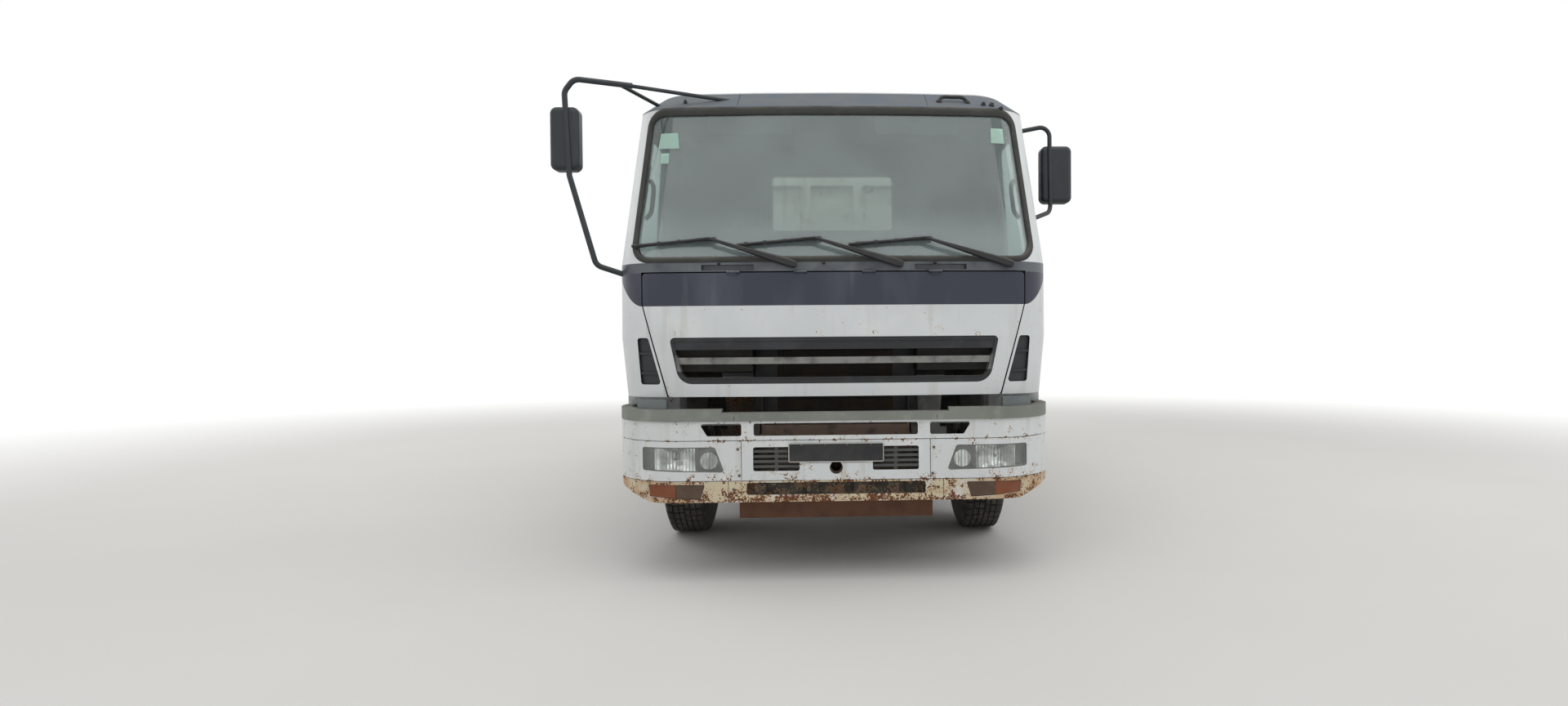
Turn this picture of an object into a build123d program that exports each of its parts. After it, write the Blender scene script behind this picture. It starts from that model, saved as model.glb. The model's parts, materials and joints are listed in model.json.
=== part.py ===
from build123d import *
import os
from math import cos, radians, sin, sqrt

# A three-axle tipper truck: a tilting cab over the steered axle, a ladder frame, a tandem of two
# driven axles on twin tyres, and a steel dump bed hinged at the tail with a top-hung gate.
# Millimetres. +Z is up, the truck faces -Y and its left side is +X. The origin lies on the ground at
# the middle of the whole truck. "station" is the distance behind the bumper's face.

# Driving dimensions of the whole truck
front_overhang = 1380
wheelbase = 3900
tandem_spacing = 1310
rear_overhang = 1060
body_width = 2490
fit_gap = 0.3
pin_gap = 0.1
pad_proud = 12

overall_length = front_overhang + wheelbase + tandem_spacing + rear_overhang
front_y = -(overall_length - pad_proud) / 2
front_axle_at = front_overhang
rear_axle_at = (front_overhang + wheelbase, front_overhang + wheelbase + tandem_spacing)
trunnion_at = sum(rear_axle_at) / 2

# Wheels and tyres
tyre_radius = 530
tyre_half_width = 145
tyre_shoulder_half = 112
tyre_bead_half = 106
tyre_wide_radius = 395
rim_radius = 262
rim_wall = 12
rim_half_width = 114
front_track = 1980
front_wheel_x = front_track / 2
rear_track = 1850
twin_spacing = 340
hub_radius = 108
drum_radius = 205
spindle_radius = 38
rear_spindle_radius = 50
front_hub_inner_x = front_wheel_x - 18
spindle_end_x = front_wheel_x + 90
rear_hub_inner_x = 725
rear_spindle_end_x = 950
hand_hole_radius = 33
hand_hole_circle = 178
hand_hole_count = 8
axle_z = tyre_radius

# Frame rails
rail_outer_x = 425
rail_web = 10
rail_flange = 80
rail_height = 285
rail_bottom_z = 750
rail_top_z = rail_bottom_z + rail_height
rail_front_at = 230
rail_rear_at = overall_length - 250
rail_inner_x = rail_outer_x - rail_flange
web_inner_x = rail_outer_x - rail_web

# Front springs, rear springs and their trunnion
spring_half = 45
spring_x = rail_outer_x - spring_half
leaf_thick = 24
front_leaf_half = (300, 480, 640, 780)
front_spring_reach = front_leaf_half[-1]
front_spring_eye_z = 690
spring_eye_radius = 28
spring_pin_radius = 12
hanger_plate = 14
hanger_half = 45
rear_leaf_thick = 28
rear_leaf_half = (tandem_spacing / 2 - 5, 560, 430, 300)
rear_spring_x0 = 470
trunnion_z = 600
trunnion_radius = 55
trunnion_reach = 575
saddle_half = 75
beam_pad_z = 505
axle_tube = 75
axle_pad = 14

# Steering
kingpin_x = front_wheel_x - 100
kingpin_radius = 20
knuckle_boss_radius = 45
knuckle_flange_x0 = front_wheel_x - 45
knuckle_flange_x1 = front_wheel_x - 25
knuckle_flange_radius = 105
lug_clear = 1.0
lug_thick = 44
beam_half_depth = 55
beam_end_half = 60
beam_low_z = 395
beam_knee_x = kingpin_x - 170
beam_flat_x = kingpin_x - 330
beam_wall = 26
beam_rib_half = 16
steering_arm_thick = 26
steering_pin_inboard = 60
steering_pin_behind = 190
tie_rod_z = 410
tie_rod_radius = 20
ball_pin_radius = 14
ball_pin_rise = 12
ball_housing_radius = 22

# Cab
cab_skirt_z = 1014
cab_floor_z = 1150
cab_bulge_z = 1344
cab_belt_z = 1757
screen_top_z = 2704
roof_z = 2855
cab_front_skirt = 68
cab_front_bulge = 58
cab_front_belt = 55
cab_front_screen_top = 395
cab_front_roof = 640
cab_half_skirt = 1205
cab_half_bulge = 1233
cab_half_belt = 1230
cab_half_screen_top = 1170
cab_half_roof = 1075
skirt_rear_at = 740
cab_rear_at = 1950
cab_wall = 50
cab_floor_thick = 60
cowl_shelf = 30
cab_sag = 70
cab_front_corner = 260
cab_rear_corner = 170
roof_edge_radius = 150
firewall_front_at = 190
firewall_rear_at = 250
tunnel_half = 470
tunnel_wall = 30
tunnel_top_z = 1450
tunnel_rear_at = 1900
tilt_pivot_at = 100
tilt_pivot_z = 700
tilt_pin_radius = 22
tilt_arm_x0 = 432
tilt_arm_x1 = 482
tilt_arm_half = 34
# the tilt arm's side outline. columns: distance behind the pin, height over the pin
tilt_arm_side = ((0, 32), (190, 205), (330, 455), (470, 455), (300, 160), (60, -28), (10, -30))
# columns: height, station of the front at the middle, half width
cab_levels = (
    (cab_skirt_z, cab_front_skirt, cab_half_skirt),
    (cab_bulge_z, cab_front_bulge, cab_half_bulge),
    (cab_belt_z, cab_front_belt, cab_half_belt),
    (screen_top_z, cab_front_screen_top, cab_half_screen_top),
    (roof_z, cab_front_roof, cab_half_roof),
)

# Windscreen, rear window and wipers
screen_low_z = 1790
screen_high_z = 2674
screen_half_low = 1116
screen_half_high = 1062
screen_corner = 85
screen_rear_at = 790
glass_thick = 6
glass_inset = 8
rear_window_half = 469
rear_window_low_z = 2138
rear_window_high_z = 2572
rear_window_corner = 60
wiper_pivot_z = 1745
wiper_pivot_x = (-232, 355, 974)
wiper_pivot_radius = 20
wiper_radius = 9
wiper_elbow_out = 468
wiper_elbow_up = 148
wiper_tip_out = 896
wiper_tip_up = 110
wiper_proud = 48

# Front lid and grille
lid_top_z = 1701
lid_bottom_z = cab_skirt_z
lid_half_top = 1070
lid_half_bottom = 929
lid_straight_z = 1530
lid_thick = 28
lid_gap = 7
lid_corner = 20
lid_hinge_at = 55
lid_hinge_z = lid_top_z + 3
lid_pin_radius = 5
lid_knuckle_radius = 9
lid_knuckle_half = 22
lid_lug_thick = 12
lid_hinge_clear = 2
lid_hinge_x = (-560, -190, 190, 560)
grille_top_z = 1344
grille_bottom_z = 1085
grille_half_top = 922
grille_half_bottom = 869
grille_corner_top = 25
grille_corner_bottom = 90
grille_frame = 22
grille_rear_at = 183
# columns: lowest, highest, depth of the front behind the lid's face, depth of the rear
grille_bars = (
    (1275, 1340, 8, 40),
    (1195, 1232, 12, 62),
    (1088, 1120, 12, 62),
)

# Intakes in the cowl over the lid, and vents in the cab's front corners
cowl_slot_x0 = 445
cowl_slot_x1 = 737
cowl_slot_low_z = 1714
cowl_slot_corner = 4.5
cowl_slot_high_z = 1745
vent_low_z = 1084
vent_high_z = 1344
vent_outer_low_x = 1088
vent_outer_high_x = 1106
vent_seam = 22
vent_depth = 26
vent_corner = 16
vent_louvre_z = (1147, 1257)
vent_louvre_half = 6

# Doors
door_gap = 8
door_front_at = 440
door_rear_at = 1330
door_top_front_at = 760
door_low_z = 1225
door_top_z = 2680
door_window_low_z = 1830
door_window_margin = 68
door_glass_inset = 20
door_corner = 45
door_rear_trim = 20
door_trim_depth = 30
door_hinge_x = 1235
door_hinge_z = (1330, 1640)
door_pin_radius = 5
door_knuckle_radius = 9
door_knuckle_half = 14
door_lug_height = 18
door_hinge_clear = 2
door_web_depth = 17

# Dashboard, steering wheel and seats
# columns: station, height
dash_side = ((firewall_rear_at + fit_gap, 1500), (420, 1460), (540, 1560), (560, 1660),
             (500, 1715), (firewall_rear_at + 40, 1778), (firewall_rear_at + fit_gap, 1778))
wheel_x = 620
wheel_at = 770
wheel_z = 1810
wheel_tilt = 28
wheel_ring_radius = 222
wheel_grip_radius = 14
column_radius = 30
seat_x = 640
seat_half = 240
seat_front_at = 1080
seat_rear_at = 1570
seat_base_half = 130
seat_low_z = 1480
seat_top_z = 1620
seat_soft = 35
# columns: station, height
seat_back_side = ((1530, 1560), (1640, 1560), (1750, 2130), (1665, 2150))
seat_head_side = ((1680, 2140), (1748, 2128), (1780, 2290), (1710, 2298))
seat_head_half = 120

# Mirrors
mirror_depth = 90
mirror_corner = 38
mirror_tube = 16
mirror_bend = 60
mirror_link_radius = 11
mirror_right_half = (82, 180)
mirror_right_at = 240
mirror_right_x = -1528
mirror_right_z = 2480
# columns: x, station, height
mirror_right_stay = ((-1150, 300, 2790), (-1465, 240, 2812), (-1520, 240, 2742), (-1498, 240, 2268),
                     (-1354, 240, 1759), (-1150, 300, 1690))
mirror_right_roof_ends = ((-570, 560, 2766), (-1010, 640, 2735))
mirror_left_half = (100, 184)
mirror_left_at = 850
mirror_left_x = 1449
mirror_left_z = 2384
mirror_left_stay = ((1120, 850, 2640), (1400, 850, 2695), (1405, 850, 2140), (1150, 590, 2030))

# Bumper
bumper_half = body_width / 2
bumper_corner = 400
bumper_rear_at = 468
bumper_low_z = 441
bumper_end_low_z = 530
bumper_rise_x = 1020
bumper_top_z = 885
bumper_wall = 8
bumper_top_flange = 60
bumper_low_flange = 45
bumper_low_flange_z = 560
panel_half = 174
panel_low_z = 558
panel_high_z = 652
panel_proud = 5
pad_top_z = 951
pad_mid_drop = 20
pad_mid_half = 624
pad_depth = 60
lamp_low_z = 605
lamp_high_z = 744
lamp_end_low_z = 616
lamp_inner_low_x = 611
lamp_inner_high_x = 664
lamp_outer_x = 1068
lamp_depth = 60
lamp_corner = 14
slot_low_z = 804
slot_high_z = 872
slot_middle_half = 451
slot_corner = 12
slot_outer_x = (518, 747, 705)
air_grille_x0 = 201
air_grille_x1 = 455
air_grille_low_z = 610
air_grille_high_z = 742
air_grille_slat_z = (634, 662, 690, 718)
air_grille_slat_half = 7
air_grille_edge = 8
valance_slot_half = 492
valance_slot_low_z = 480
valance_slot_high_z = 547
# the fog lamp's recess. columns: x, height
fog_recess = ((745, 455), (1030, 470), (1036, 540), (718, 540))
bracket_low_z = 754
bracket_high_z = 795
corner_lamp_x0 = 928
corner_lamp_x1 = 1108
corner_lamp_top_z = 1002
corner_lamp_front = 25
corner_lamp_rear = 60
tow_z = 627
tow_radius = 30
tow_wall = 24
tow_socket_front_at = 40
tow_bore_length = 150
tow_cross_low_z = 585
tow_hole_clear = 6
under_beam_half = 540
under_beam_at = (90, 190)
under_beam_z = (335, 440)

# Rear towing plate
tow_bolt_radius = 10.5
tow_bolt_x = 160
tow_bolt_z = 100
tow_plate_half = 150
tow_plate_z = rail_bottom_z + rail_height / 2

# Tanks and boxes on the frame
tank_front_at = 2480
tank_rear_at = 3480
tank_inner_x = 478
tank_outer_x = 1185
tank_low_z = 520
tank_high_z = 1020
box_front_at = 2480
box_rear_at = 3080
box_inner_x = 478
box_outer_x = 1150
box_low_z = 620
box_high_z = 990
reservoir_front_at = 3180
reservoir_rear_at = 3960
reservoir_radius = 122
reservoir_z = 752
reservoir_x = (606, 880)

# Wheel guards, steps, rear bar and rear lamps
guard_radius = 600
guard_thick = 14
guard_inner_x = front_wheel_x - 168
guard_drop = 46
guard_skirt = 110
guard_arm_ahead = 260
guard_arm_wide = 70
step_inner_x = 930
step_outer_x = bumper_half - 10
step_gap = 10
step_ahead = 628
step_low_z = 450
step_tread_z = (490, 750)
step_rise = 215
step_back = 110
step_wall = 22
rear_guard_gap = 70
rear_guard_inner_x = 612
rear_guard_outer_x = 1238
rear_guard_z = 1118
rear_guard_slope = 90
rear_guard_front_z = 700
rear_guard_flap_z = 420
rear_guard_arm_z = 975
rear_bar_half = 1120
rear_bar_low_z = 500
rear_bar_high_z = 590
rear_bar_depth = 60
tail_lamp_x = (700, 1060)
tail_lamp_height = 110

# Engine, radiator, shafts, exhaust and air intake
engine_half = 335
engine_front_at = 700
engine_rear_at = 1980
engine_low_z = 620
engine_high_z = 1400
engine_mount_at = (900, 1650)
gearbox_half = 240
gearbox_rear_at = 2560
gearbox_low_z = 600
gearbox_high_z = 940
output_rear_at = 2860
output_z = 740
output_radius = 140
radiator_front_at = 300
radiator_depth = 100
axle_nose_z = axle_z + 20
axle_nose_reach = 330
axle_bowl_rear = 210
shaft_radius = 52
muffler_x = (500, 1120)
muffler_z = (540, 900)
muffler_at = (2090, 2430)
exhaust_pipe_radius = 45
exhaust_pipe_z = 690
outlet_z = 640
intake_x = (820, 1060)
intake_at = (2040, 2280)
intake_low_z = 1180
intake_high_z = 2400
intake_cap_z = 2620

# Dump bed, its subframe and hinge
bed_front_at = 2440
bed_rear_at = overall_length - 95
subframe_height = 130
subframe_front_at = 2520
bed_rest_gap = 0.5
sill_height = 180
bearer_height = 90
bearer_length = 60
bearer_at = (2520, 2980, 3440, 3900, 4360, 4940, 5420, 5900, 6380, 6860)
floor_plate = 12
bed_inner_half = 1165
bed_plate = 12
rib_outer_half = 1238
rib_count = 8
rib_length = 90
bed_side_top_z = 2380
headboard_top_z = 2640
head_rib_x = (210, 630, 1050)
bed_hinge_at = overall_length - 300
bed_hinge_z = 1100
hinge_pin_radius = 30
hinge_boss_radius = 55
lug_x0 = 432
lug_x1 = 458
subframe_top_z = rail_top_z + subframe_height
sill_bottom_z = subframe_top_z + bed_rest_gap
floor_bottom_z = sill_bottom_z + sill_height
floor_top_z = floor_bottom_z + floor_plate

# Tailgate
gate_plate = 12
gate_gap = 6
gate_hinge_at = overall_length - 60
gate_hinge_z = 2440
gate_hinge_radius = 22
gate_half = 1160
gate_low_z = floor_bottom_z
gate_top_z = 2360
gate_post_x = (240, 720, 1180)

# Hoist
hoist_base_at = trunnion_at
hoist_base_z = 880
hoist_eye_at = 4550
hoist_eye_z = 1250
barrel_radius = 92
rod_radius = 52
hoist_pin_radius = 28
hoist_ear_x = rod_radius + 4
hoist_ear_thick = 18
eye_radius = 60
eye_half = 42


def at(station):
    """Y of a point this far behind the bumper's face."""
    return front_y + station


def block(x0, x1, s0, s1, z0, z1):
    """A box between two stations."""
    centre = Pos((x0 + x1) / 2, at((s0 + s1) / 2), (z0 + z1) / 2)
    return centre * Box(x1 - x0, s1 - s0, z1 - z0)


def rod_x(x0, x1, station, z, radius):
    return Pos((x0 + x1) / 2, at(station), z) * Rot(0, 90, 0) * Cylinder(radius, x1 - x0)


def rod_y(s0, s1, x, z, radius):
    return Pos(x, at((s0 + s1) / 2), z) * Rot(90, 0, 0) * Cylinder(radius, s1 - s0)


def rod_z(z0, z1, x, station, radius):
    return Pos(x, at(station), (z0 + z1) / 2) * Cylinder(radius, z1 - z0)


def rod_between(start, end, radius):
    """A round bar between two points given as (x, station, z)."""
    a = Vector(start[0], at(start[1]), start[2])
    b = Vector(end[0], at(end[1]), end[2])
    return Plane(origin=a, z_dir=b - a) * Cylinder(radius, (b - a).length, align=(
        Align.CENTER, Align.CENTER, Align.MIN))


def outline(points, radius):
    if radius:
        return make_face(FilletPolyline(*points, radius=radius, close=True))
    return make_face(Polyline(*points, close=True))


def side_prism(points, x0, x1, radius=0):
    """An outline of (station, height) points, carried from x0 to x1."""
    face = outline([(at(s), z) for s, z in points], radius)
    return extrude(Plane.YZ.offset(x0) * face, amount=x1 - x0)


def front_prism(points, s0, s1, radius=0):
    """An outline of (x, height) points, carried from one station to another."""
    return extrude(Plane.XZ.offset(-at(s1)) * outline(points, radius), amount=s1 - s0)


def plan_prism(points, z0, z1, radius=0):
    face = outline([(x, at(s)) for x, s in points], radius)
    return extrude(Pos(0, 0, z0) * face, amount=z1 - z0)


def oblong(x0, x1, z0, z1):
    """Corner points of an upright rectangle."""
    return [(x0, z0), (x1, z0), (x1, z1), (x0, z1)]


def fuse(pieces):
    return Part() + list(pieces)


def mirrored(shape):
    return mirror(shape, about=Plane.YZ)


def both_sides(shape):
    return [shape, mirrored(shape)]


def turned(profile, x, station, z):
    """A ring of (x, radius) points turned about a crosswise axle."""
    face = make_face(Polyline(*profile, close=True))
    return Pos(x, at(station), z) * revolve(face, axis=Axis.X)


def save(node, *shapes):
    solids = [s for shape in shapes for s in shape.solids()]
    export_step(Compound(children=solids), f"parts/{node}.step")


# Cab surface


def cab_level(z):
    """Front station and half width of the cab's outside at a height."""
    for (z0, f0, w0), (z1, f1, w1) in zip(cab_levels, cab_levels[1:]):
        if z <= z1:
            share = (z - z0) / (z1 - z0)
            return f0 + share * (f1 - f0), w0 + share * (w1 - w0)
    return cab_levels[-1][1:]


def cab_section(z, inset):
    front, half = cab_level(z)
    half -= inset
    y = at(front + inset)
    rear = at(cab_rear_at - inset)
    left, right = (-half, y + cab_sag), (half, y + cab_sag)
    edges = [
        ThreePointArc(left, (0, y), right),
        Line(right, (half, rear)),
        Line((half, rear), (-half, rear)),
        Line((-half, rear), left),
    ]
    face = make_face(edges)
    corners = face.vertices().sort_by(Axis.Y)
    face = fillet(corners[2:], cab_rear_corner - inset)
    return Pos(0, 0, z) * fillet(face.vertices().sort_by(Axis.Y)[:2], cab_front_corner - inset)


def cab_volume(inset, low, high):
    heights = [low] + [z for z, _, _ in cab_levels if low < z < high] + [high]
    return loft([cab_section(z, inset) for z in heights], ruled=True)


def cab_band(front, rear, low, high):
    """The layer of the cab's outside between two depths."""
    return cab_volume(front, low, high) - cab_volume(rear, low - 1, high + 1)


def cab_face_station(x, z):
    """Station of the cab's front surface away from its corners."""
    front, half = cab_level(z)
    return front + cab_sag * (x / half) ** 2


def lid_points(grow):
    top = lid_top_z + grow
    low = lid_bottom_z - grow
    wide, narrow = lid_half_top + grow, lid_half_bottom + grow
    return [(-wide, top), (-wide, lid_straight_z), (-narrow, low),
            (narrow, low), (wide, lid_straight_z), (wide, top)]


def grille_prism(grow, s0, s1):
    """The grille's opening, with small upper and large lower corners."""
    top, low = grille_top_z + grow, grille_bottom_z - grow
    wide, narrow = grille_half_top + grow, grille_half_bottom + grow
    face = make_face(Polyline((-wide, top), (-narrow, low), (narrow, low), (wide, top), close=True))
    corners = face.vertices().sort_by(Axis.Y)
    face = fillet(corners[:2], grille_corner_bottom + grow)
    face = fillet(face.vertices().sort_by(Axis.Y)[-2:], grille_corner_top + grow)
    return extrude(Plane.XZ.offset(-at(s1)) * face, amount=s1 - s0)


def seam_x(z):
    """Half width of the lid at a height below its straight part."""
    share = (lid_straight_z - z) / (lid_straight_z - lid_bottom_z)
    return lid_half_top + share * (lid_half_bottom - lid_half_top)


def vent_edge_x(z):
    share = (z - vent_low_z) / (vent_high_z - vent_low_z)
    return vent_outer_low_x + share * (vent_outer_high_x - vent_outer_low_x)


def vent_points(grow):
    low, high = vent_low_z - grow, vent_high_z + grow
    seam = vent_seam - grow
    return [(seam_x(low) + seam, low), (vent_edge_x(low) + grow, low),
            (vent_edge_x(high) + grow, high), (seam_x(high) + seam, high)]


def screen_points(shrink):
    low, high = screen_low_z + shrink, screen_high_z - shrink
    wide, narrow = screen_half_low - shrink, screen_half_high - shrink
    return [(-wide, low), (wide, low), (narrow, high), (-narrow, high)]


def rear_window_points(shrink):
    half = rear_window_half - shrink
    return oblong(-half, half, rear_window_low_z + shrink, rear_window_high_z - shrink)


def door_points(shrink):
    front, rear = door_front_at + shrink, door_rear_at - shrink
    low, top = door_low_z + shrink, door_top_z - shrink
    return [(front, low), (rear, low), (rear, top),
            (door_top_front_at + shrink, top), (front, cab_belt_z + shrink / 2)]


def window_points(shrink):
    m = door_window_margin + shrink
    top = door_top_z - m
    low = door_window_low_z + shrink
    slope = (door_top_front_at - door_front_at) / (door_top_z - cab_belt_z)
    front_low = door_front_at + slope * (low - cab_belt_z) + m
    front_top = door_front_at + slope * (top - cab_belt_z) + m
    return [(front_low, low), (door_rear_at - m, low), (door_rear_at - m, top), (front_top, top)]


door_cut_x = (cab_half_roof - 150, bumper_half + 50)


def door_prism(points):
    return side_prism(points, *door_cut_x, door_corner)


def make_tilt_arm():
    arm = side_prism([(tilt_pivot_at + s, tilt_pivot_z + z) for s, z in tilt_arm_side],
                     tilt_arm_x0, tilt_arm_x1)
    arm += rod_x(tilt_arm_x0, tilt_arm_x1, tilt_pivot_at, tilt_pivot_z, tilt_arm_half)
    return arm - rod_x(tilt_arm_x0 - 1, tilt_arm_x1 + 1, tilt_pivot_at, tilt_pivot_z,
                       tilt_pin_radius + pin_gap)


def make_floor_pan(top_z):
    """Floor, firewall and engine tunnel between the cab's walls. The tunnel is open in front."""
    rear = tunnel_rear_at + cab_rear_corner
    slabs = fuse([
        block(-bumper_half, bumper_half, firewall_front_at, rear, cab_floor_z,
              cab_floor_z + cab_floor_thick),
        block(-bumper_half, bumper_half, firewall_front_at, firewall_rear_at, cab_floor_z, top_z),
        block(-tunnel_half - tunnel_wall, tunnel_half + tunnel_wall, firewall_rear_at - 5,
              tunnel_rear_at, cab_floor_z, tunnel_top_z + tunnel_wall),
    ])
    pan = cab_volume(cab_wall, cab_floor_z, top_z) & slabs
    return pan - block(-tunnel_half, tunnel_half, 0, rear + 50, cab_floor_z - 50, tunnel_top_z)


def lid_lugs(radius):
    """Round lugs of the cowl beside each hinge knuckle of the lid."""
    inner = lid_knuckle_half + lid_hinge_clear
    return [rod_x(x + side * (inner + lid_lug_thick / 2) - lid_lug_thick / 2,
                  x + side * (inner + lid_lug_thick / 2) + lid_lug_thick / 2,
                  lid_hinge_at, lid_hinge_z, radius)
            for x in lid_hinge_x for side in (-1, 1)]


def lid_webs():
    """Short webs that carry the lugs back into the cowl over the lid."""
    inner = lid_knuckle_half + lid_hinge_clear
    return [block(x + side * (inner + lid_lug_thick / 2) - lid_lug_thick / 2,
                  x + side * (inner + lid_lug_thick / 2) + lid_lug_thick / 2,
                  lid_hinge_at, cab_face_station(x, lid_top_z) + cab_wall / 2,
                  lid_hinge_z, lid_top_z + lid_gap + 6)
            for x in lid_hinge_x for side in (-1, 1)]


def lid_knuckles(half, radius):
    return [rod_x(x - half, x + half, lid_hinge_at, lid_hinge_z, radius) for x in lid_hinge_x]


def door_pins(half, radius):
    return [rod_z(z - half, z + half, door_hinge_x, door_front_at, radius) for z in door_hinge_z]


def door_lugs(radius):
    """Round lugs of the door pillar above and below each knuckle of the door."""
    inner = door_knuckle_half + door_hinge_clear
    spans = [sorted((z + side * inner, z + side * (inner + door_lug_height)))
             for z in door_hinge_z for side in (-1, 1)]
    return [rod_z(z0, z1, door_hinge_x, door_front_at, radius) for z0, z1 in spans]


def door_webs(sign):
    """Webs that carry the knuckles back into the door, or the lugs into its pillar."""
    inner = door_knuckle_half + door_hinge_clear
    spans = [(z - door_knuckle_half, z + door_knuckle_half) for z in door_hinge_z]
    if sign < 0:
        spans = [sorted((z + side * inner, z + side * (inner + door_lug_height)))
                 for z in door_hinge_z for side in (-1, 1)]
    s0, s1 = sorted((door_front_at, door_front_at + sign * door_web_depth))
    return [block(door_hinge_x - door_web_depth, door_hinge_x, s0, s1, z0, z1)
            for z0, z1 in spans]


def make_cab():
    outer = cab_volume(0, cab_skirt_z, roof_z)
    outer -= block(-bumper_half, bumper_half, skirt_rear_at, cab_rear_at + 50, cab_skirt_z - 50,
                   cab_floor_z)
    roof = outer.faces().sort_by(Axis.Z)[-1]
    outer = fillet(roof.edges(), roof_edge_radius)
    # the front posts and the shelf over the lid stay solid back to the firewall
    shelf_top_z = lid_top_z + lid_gap + cowl_shelf
    room = cab_volume(cab_wall, cab_skirt_z - 10, roof_z - cab_wall)
    room -= block(-bumper_half, bumper_half, 0, firewall_front_at, cab_floor_z, shelf_top_z)
    shell = outer - room
    window = door_prism(window_points(0))
    door = (shell & door_prism(door_points(door_gap / 2))) - window
    door -= block(door_cut_x[0], cab_half_screen_top - door_rear_trim,
                  door_rear_at - door_trim_depth, door_rear_at, cab_belt_z, door_top_z)
    door -= fuse(door_lugs(door_knuckle_radius + door_hinge_clear))
    door += fuse(door_webs(1) + door_pins(door_knuckle_half, door_knuckle_radius))
    door -= fuse(door_pins(door_knuckle_half + door_hinge_clear + 0.5, door_pin_radius + pin_gap))
    glass_band = cab_band(door_glass_inset, door_glass_inset + glass_thick, cab_floor_z + 100,
                          screen_top_z)
    door_glass = glass_band & door_prism(window_points(fit_gap))
    shell -= fuse(both_sides(door_prism(door_points(-door_gap / 2))))
    notch = fuse(door_pins(door_knuckle_half + door_hinge_clear / 2,
                           door_knuckle_radius + door_hinge_clear))
    shell -= fuse(both_sides(notch))
    hinge = fuse(door_webs(-1) + door_lugs(door_knuckle_radius)
                 + door_pins(door_knuckle_half + door_hinge_clear + 1, door_pin_radius))
    shell += fuse(both_sides(hinge))
    # recess behind the lid, open below
    shell -= front_prism(lid_points(lid_gap), -50, firewall_front_at)
    # windscreen and rear window
    shell -= front_prism(screen_points(0), -50, screen_rear_at, screen_corner)
    shell -= front_prism(rear_window_points(0), cab_rear_at - 100, cab_rear_at + 50,
                         rear_window_corner)
    # the engine tunnel is open at the rear
    shell -= block(-tunnel_half, tunnel_half, tunnel_rear_at, cab_rear_at + 50,
                   cab_floor_z - 50, tunnel_top_z)
    # vents and cowl intakes are pockets
    holes = front_prism(vent_points(0), -50, 420, vent_corner) + front_prism(
        oblong(cowl_slot_x0, cowl_slot_x1, cowl_slot_low_z, cowl_slot_high_z), -50, 200,
        cowl_slot_corner)
    pocket = (outer - cab_volume(vent_depth, cab_skirt_z - 10, screen_top_z)) & holes
    shell -= fuse(both_sides(pocket))
    # hinge of the lid: lugs and pins on the cowl, with room for the lid's knuckles
    shell += fuse(lid_webs() + lid_lugs(lid_knuckle_radius))
    shell -= fuse(lid_knuckles(lid_knuckle_half + lid_hinge_clear / 2,
                               lid_knuckle_radius + lid_hinge_clear))
    shell += fuse(lid_knuckles(lid_knuckle_half + lid_hinge_clear + 1, lid_pin_radius))
    save("cab_shell", shell)
    save("cab_floor", fuse([make_floor_pan(shelf_top_z)] + both_sides(make_tilt_arm())))

    band = cab_band(glass_inset, glass_inset + glass_thick, cab_belt_z, screen_top_z)
    screen = band & front_prism(screen_points(fit_gap), -50, screen_rear_at, screen_corner)
    back = front_prism(rear_window_points(fit_gap), cab_rear_at - glass_inset - glass_thick,
                       cab_rear_at - glass_inset, rear_window_corner)
    save("cab_glass", screen, back)

    louvres = [front_prism(oblong(seam_x(z) + vent_seam + 4, vent_edge_x(z) - 4,
                                  z - vent_louvre_half, z + vent_louvre_half), -50, 420)
               for z in vent_louvre_z]
    insert = cab_band(vent_depth / 2, vent_depth - fit_gap, cab_skirt_z + 10, cab_belt_z)
    insert &= front_prism(vent_points(-1), -50, 420, vent_corner - 1)
    ribs = cab_band(3, vent_depth / 2 + 1, cab_skirt_z + 10, cab_belt_z) & fuse(louvres)
    save("corner_vents", *both_sides(insert + ribs))

    save("door_left", door)
    save("door_right", mirrored(door))
    save("door_glass_left", door_glass)
    save("door_glass_right", mirrored(door_glass))
    return outer


def make_lid():
    skin = cab_band(0, lid_thick, cab_skirt_z, cab_belt_z)
    lid = skin & front_prism(lid_points(0), -50, firewall_front_at + 20, lid_corner)
    lid -= grille_prism(0, -50, firewall_front_at + 20)
    lid -= fuse(lid_lugs(lid_knuckle_radius + lid_hinge_clear))
    webs = [block(x - lid_knuckle_half, x + lid_knuckle_half, lid_hinge_at,
                  cab_face_station(x, lid_top_z) + lid_thick / 2, lid_top_z - 12, lid_hinge_z)
            for x in lid_hinge_x]
    lid += fuse(webs + lid_knuckles(lid_knuckle_half, lid_knuckle_radius))
    lid -= fuse(lid_knuckles(lid_knuckle_half + lid_hinge_clear + 0.5, lid_pin_radius + pin_gap))
    save("front_lid", lid)

    frame = grille_prism(-fit_gap, -50, grille_rear_at) - grille_prism(
        -grille_frame, -60, grille_rear_at + 10)
    frame &= cab_volume(4, cab_skirt_z - 10, cab_belt_z)
    reach = grille_prism(-grille_frame + 4, -50, grille_rear_at)
    bars = [cab_band(front, rear, low, high) & reach for low, high, front, rear in grille_bars]
    save("grille", fuse([frame] + bars))


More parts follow.
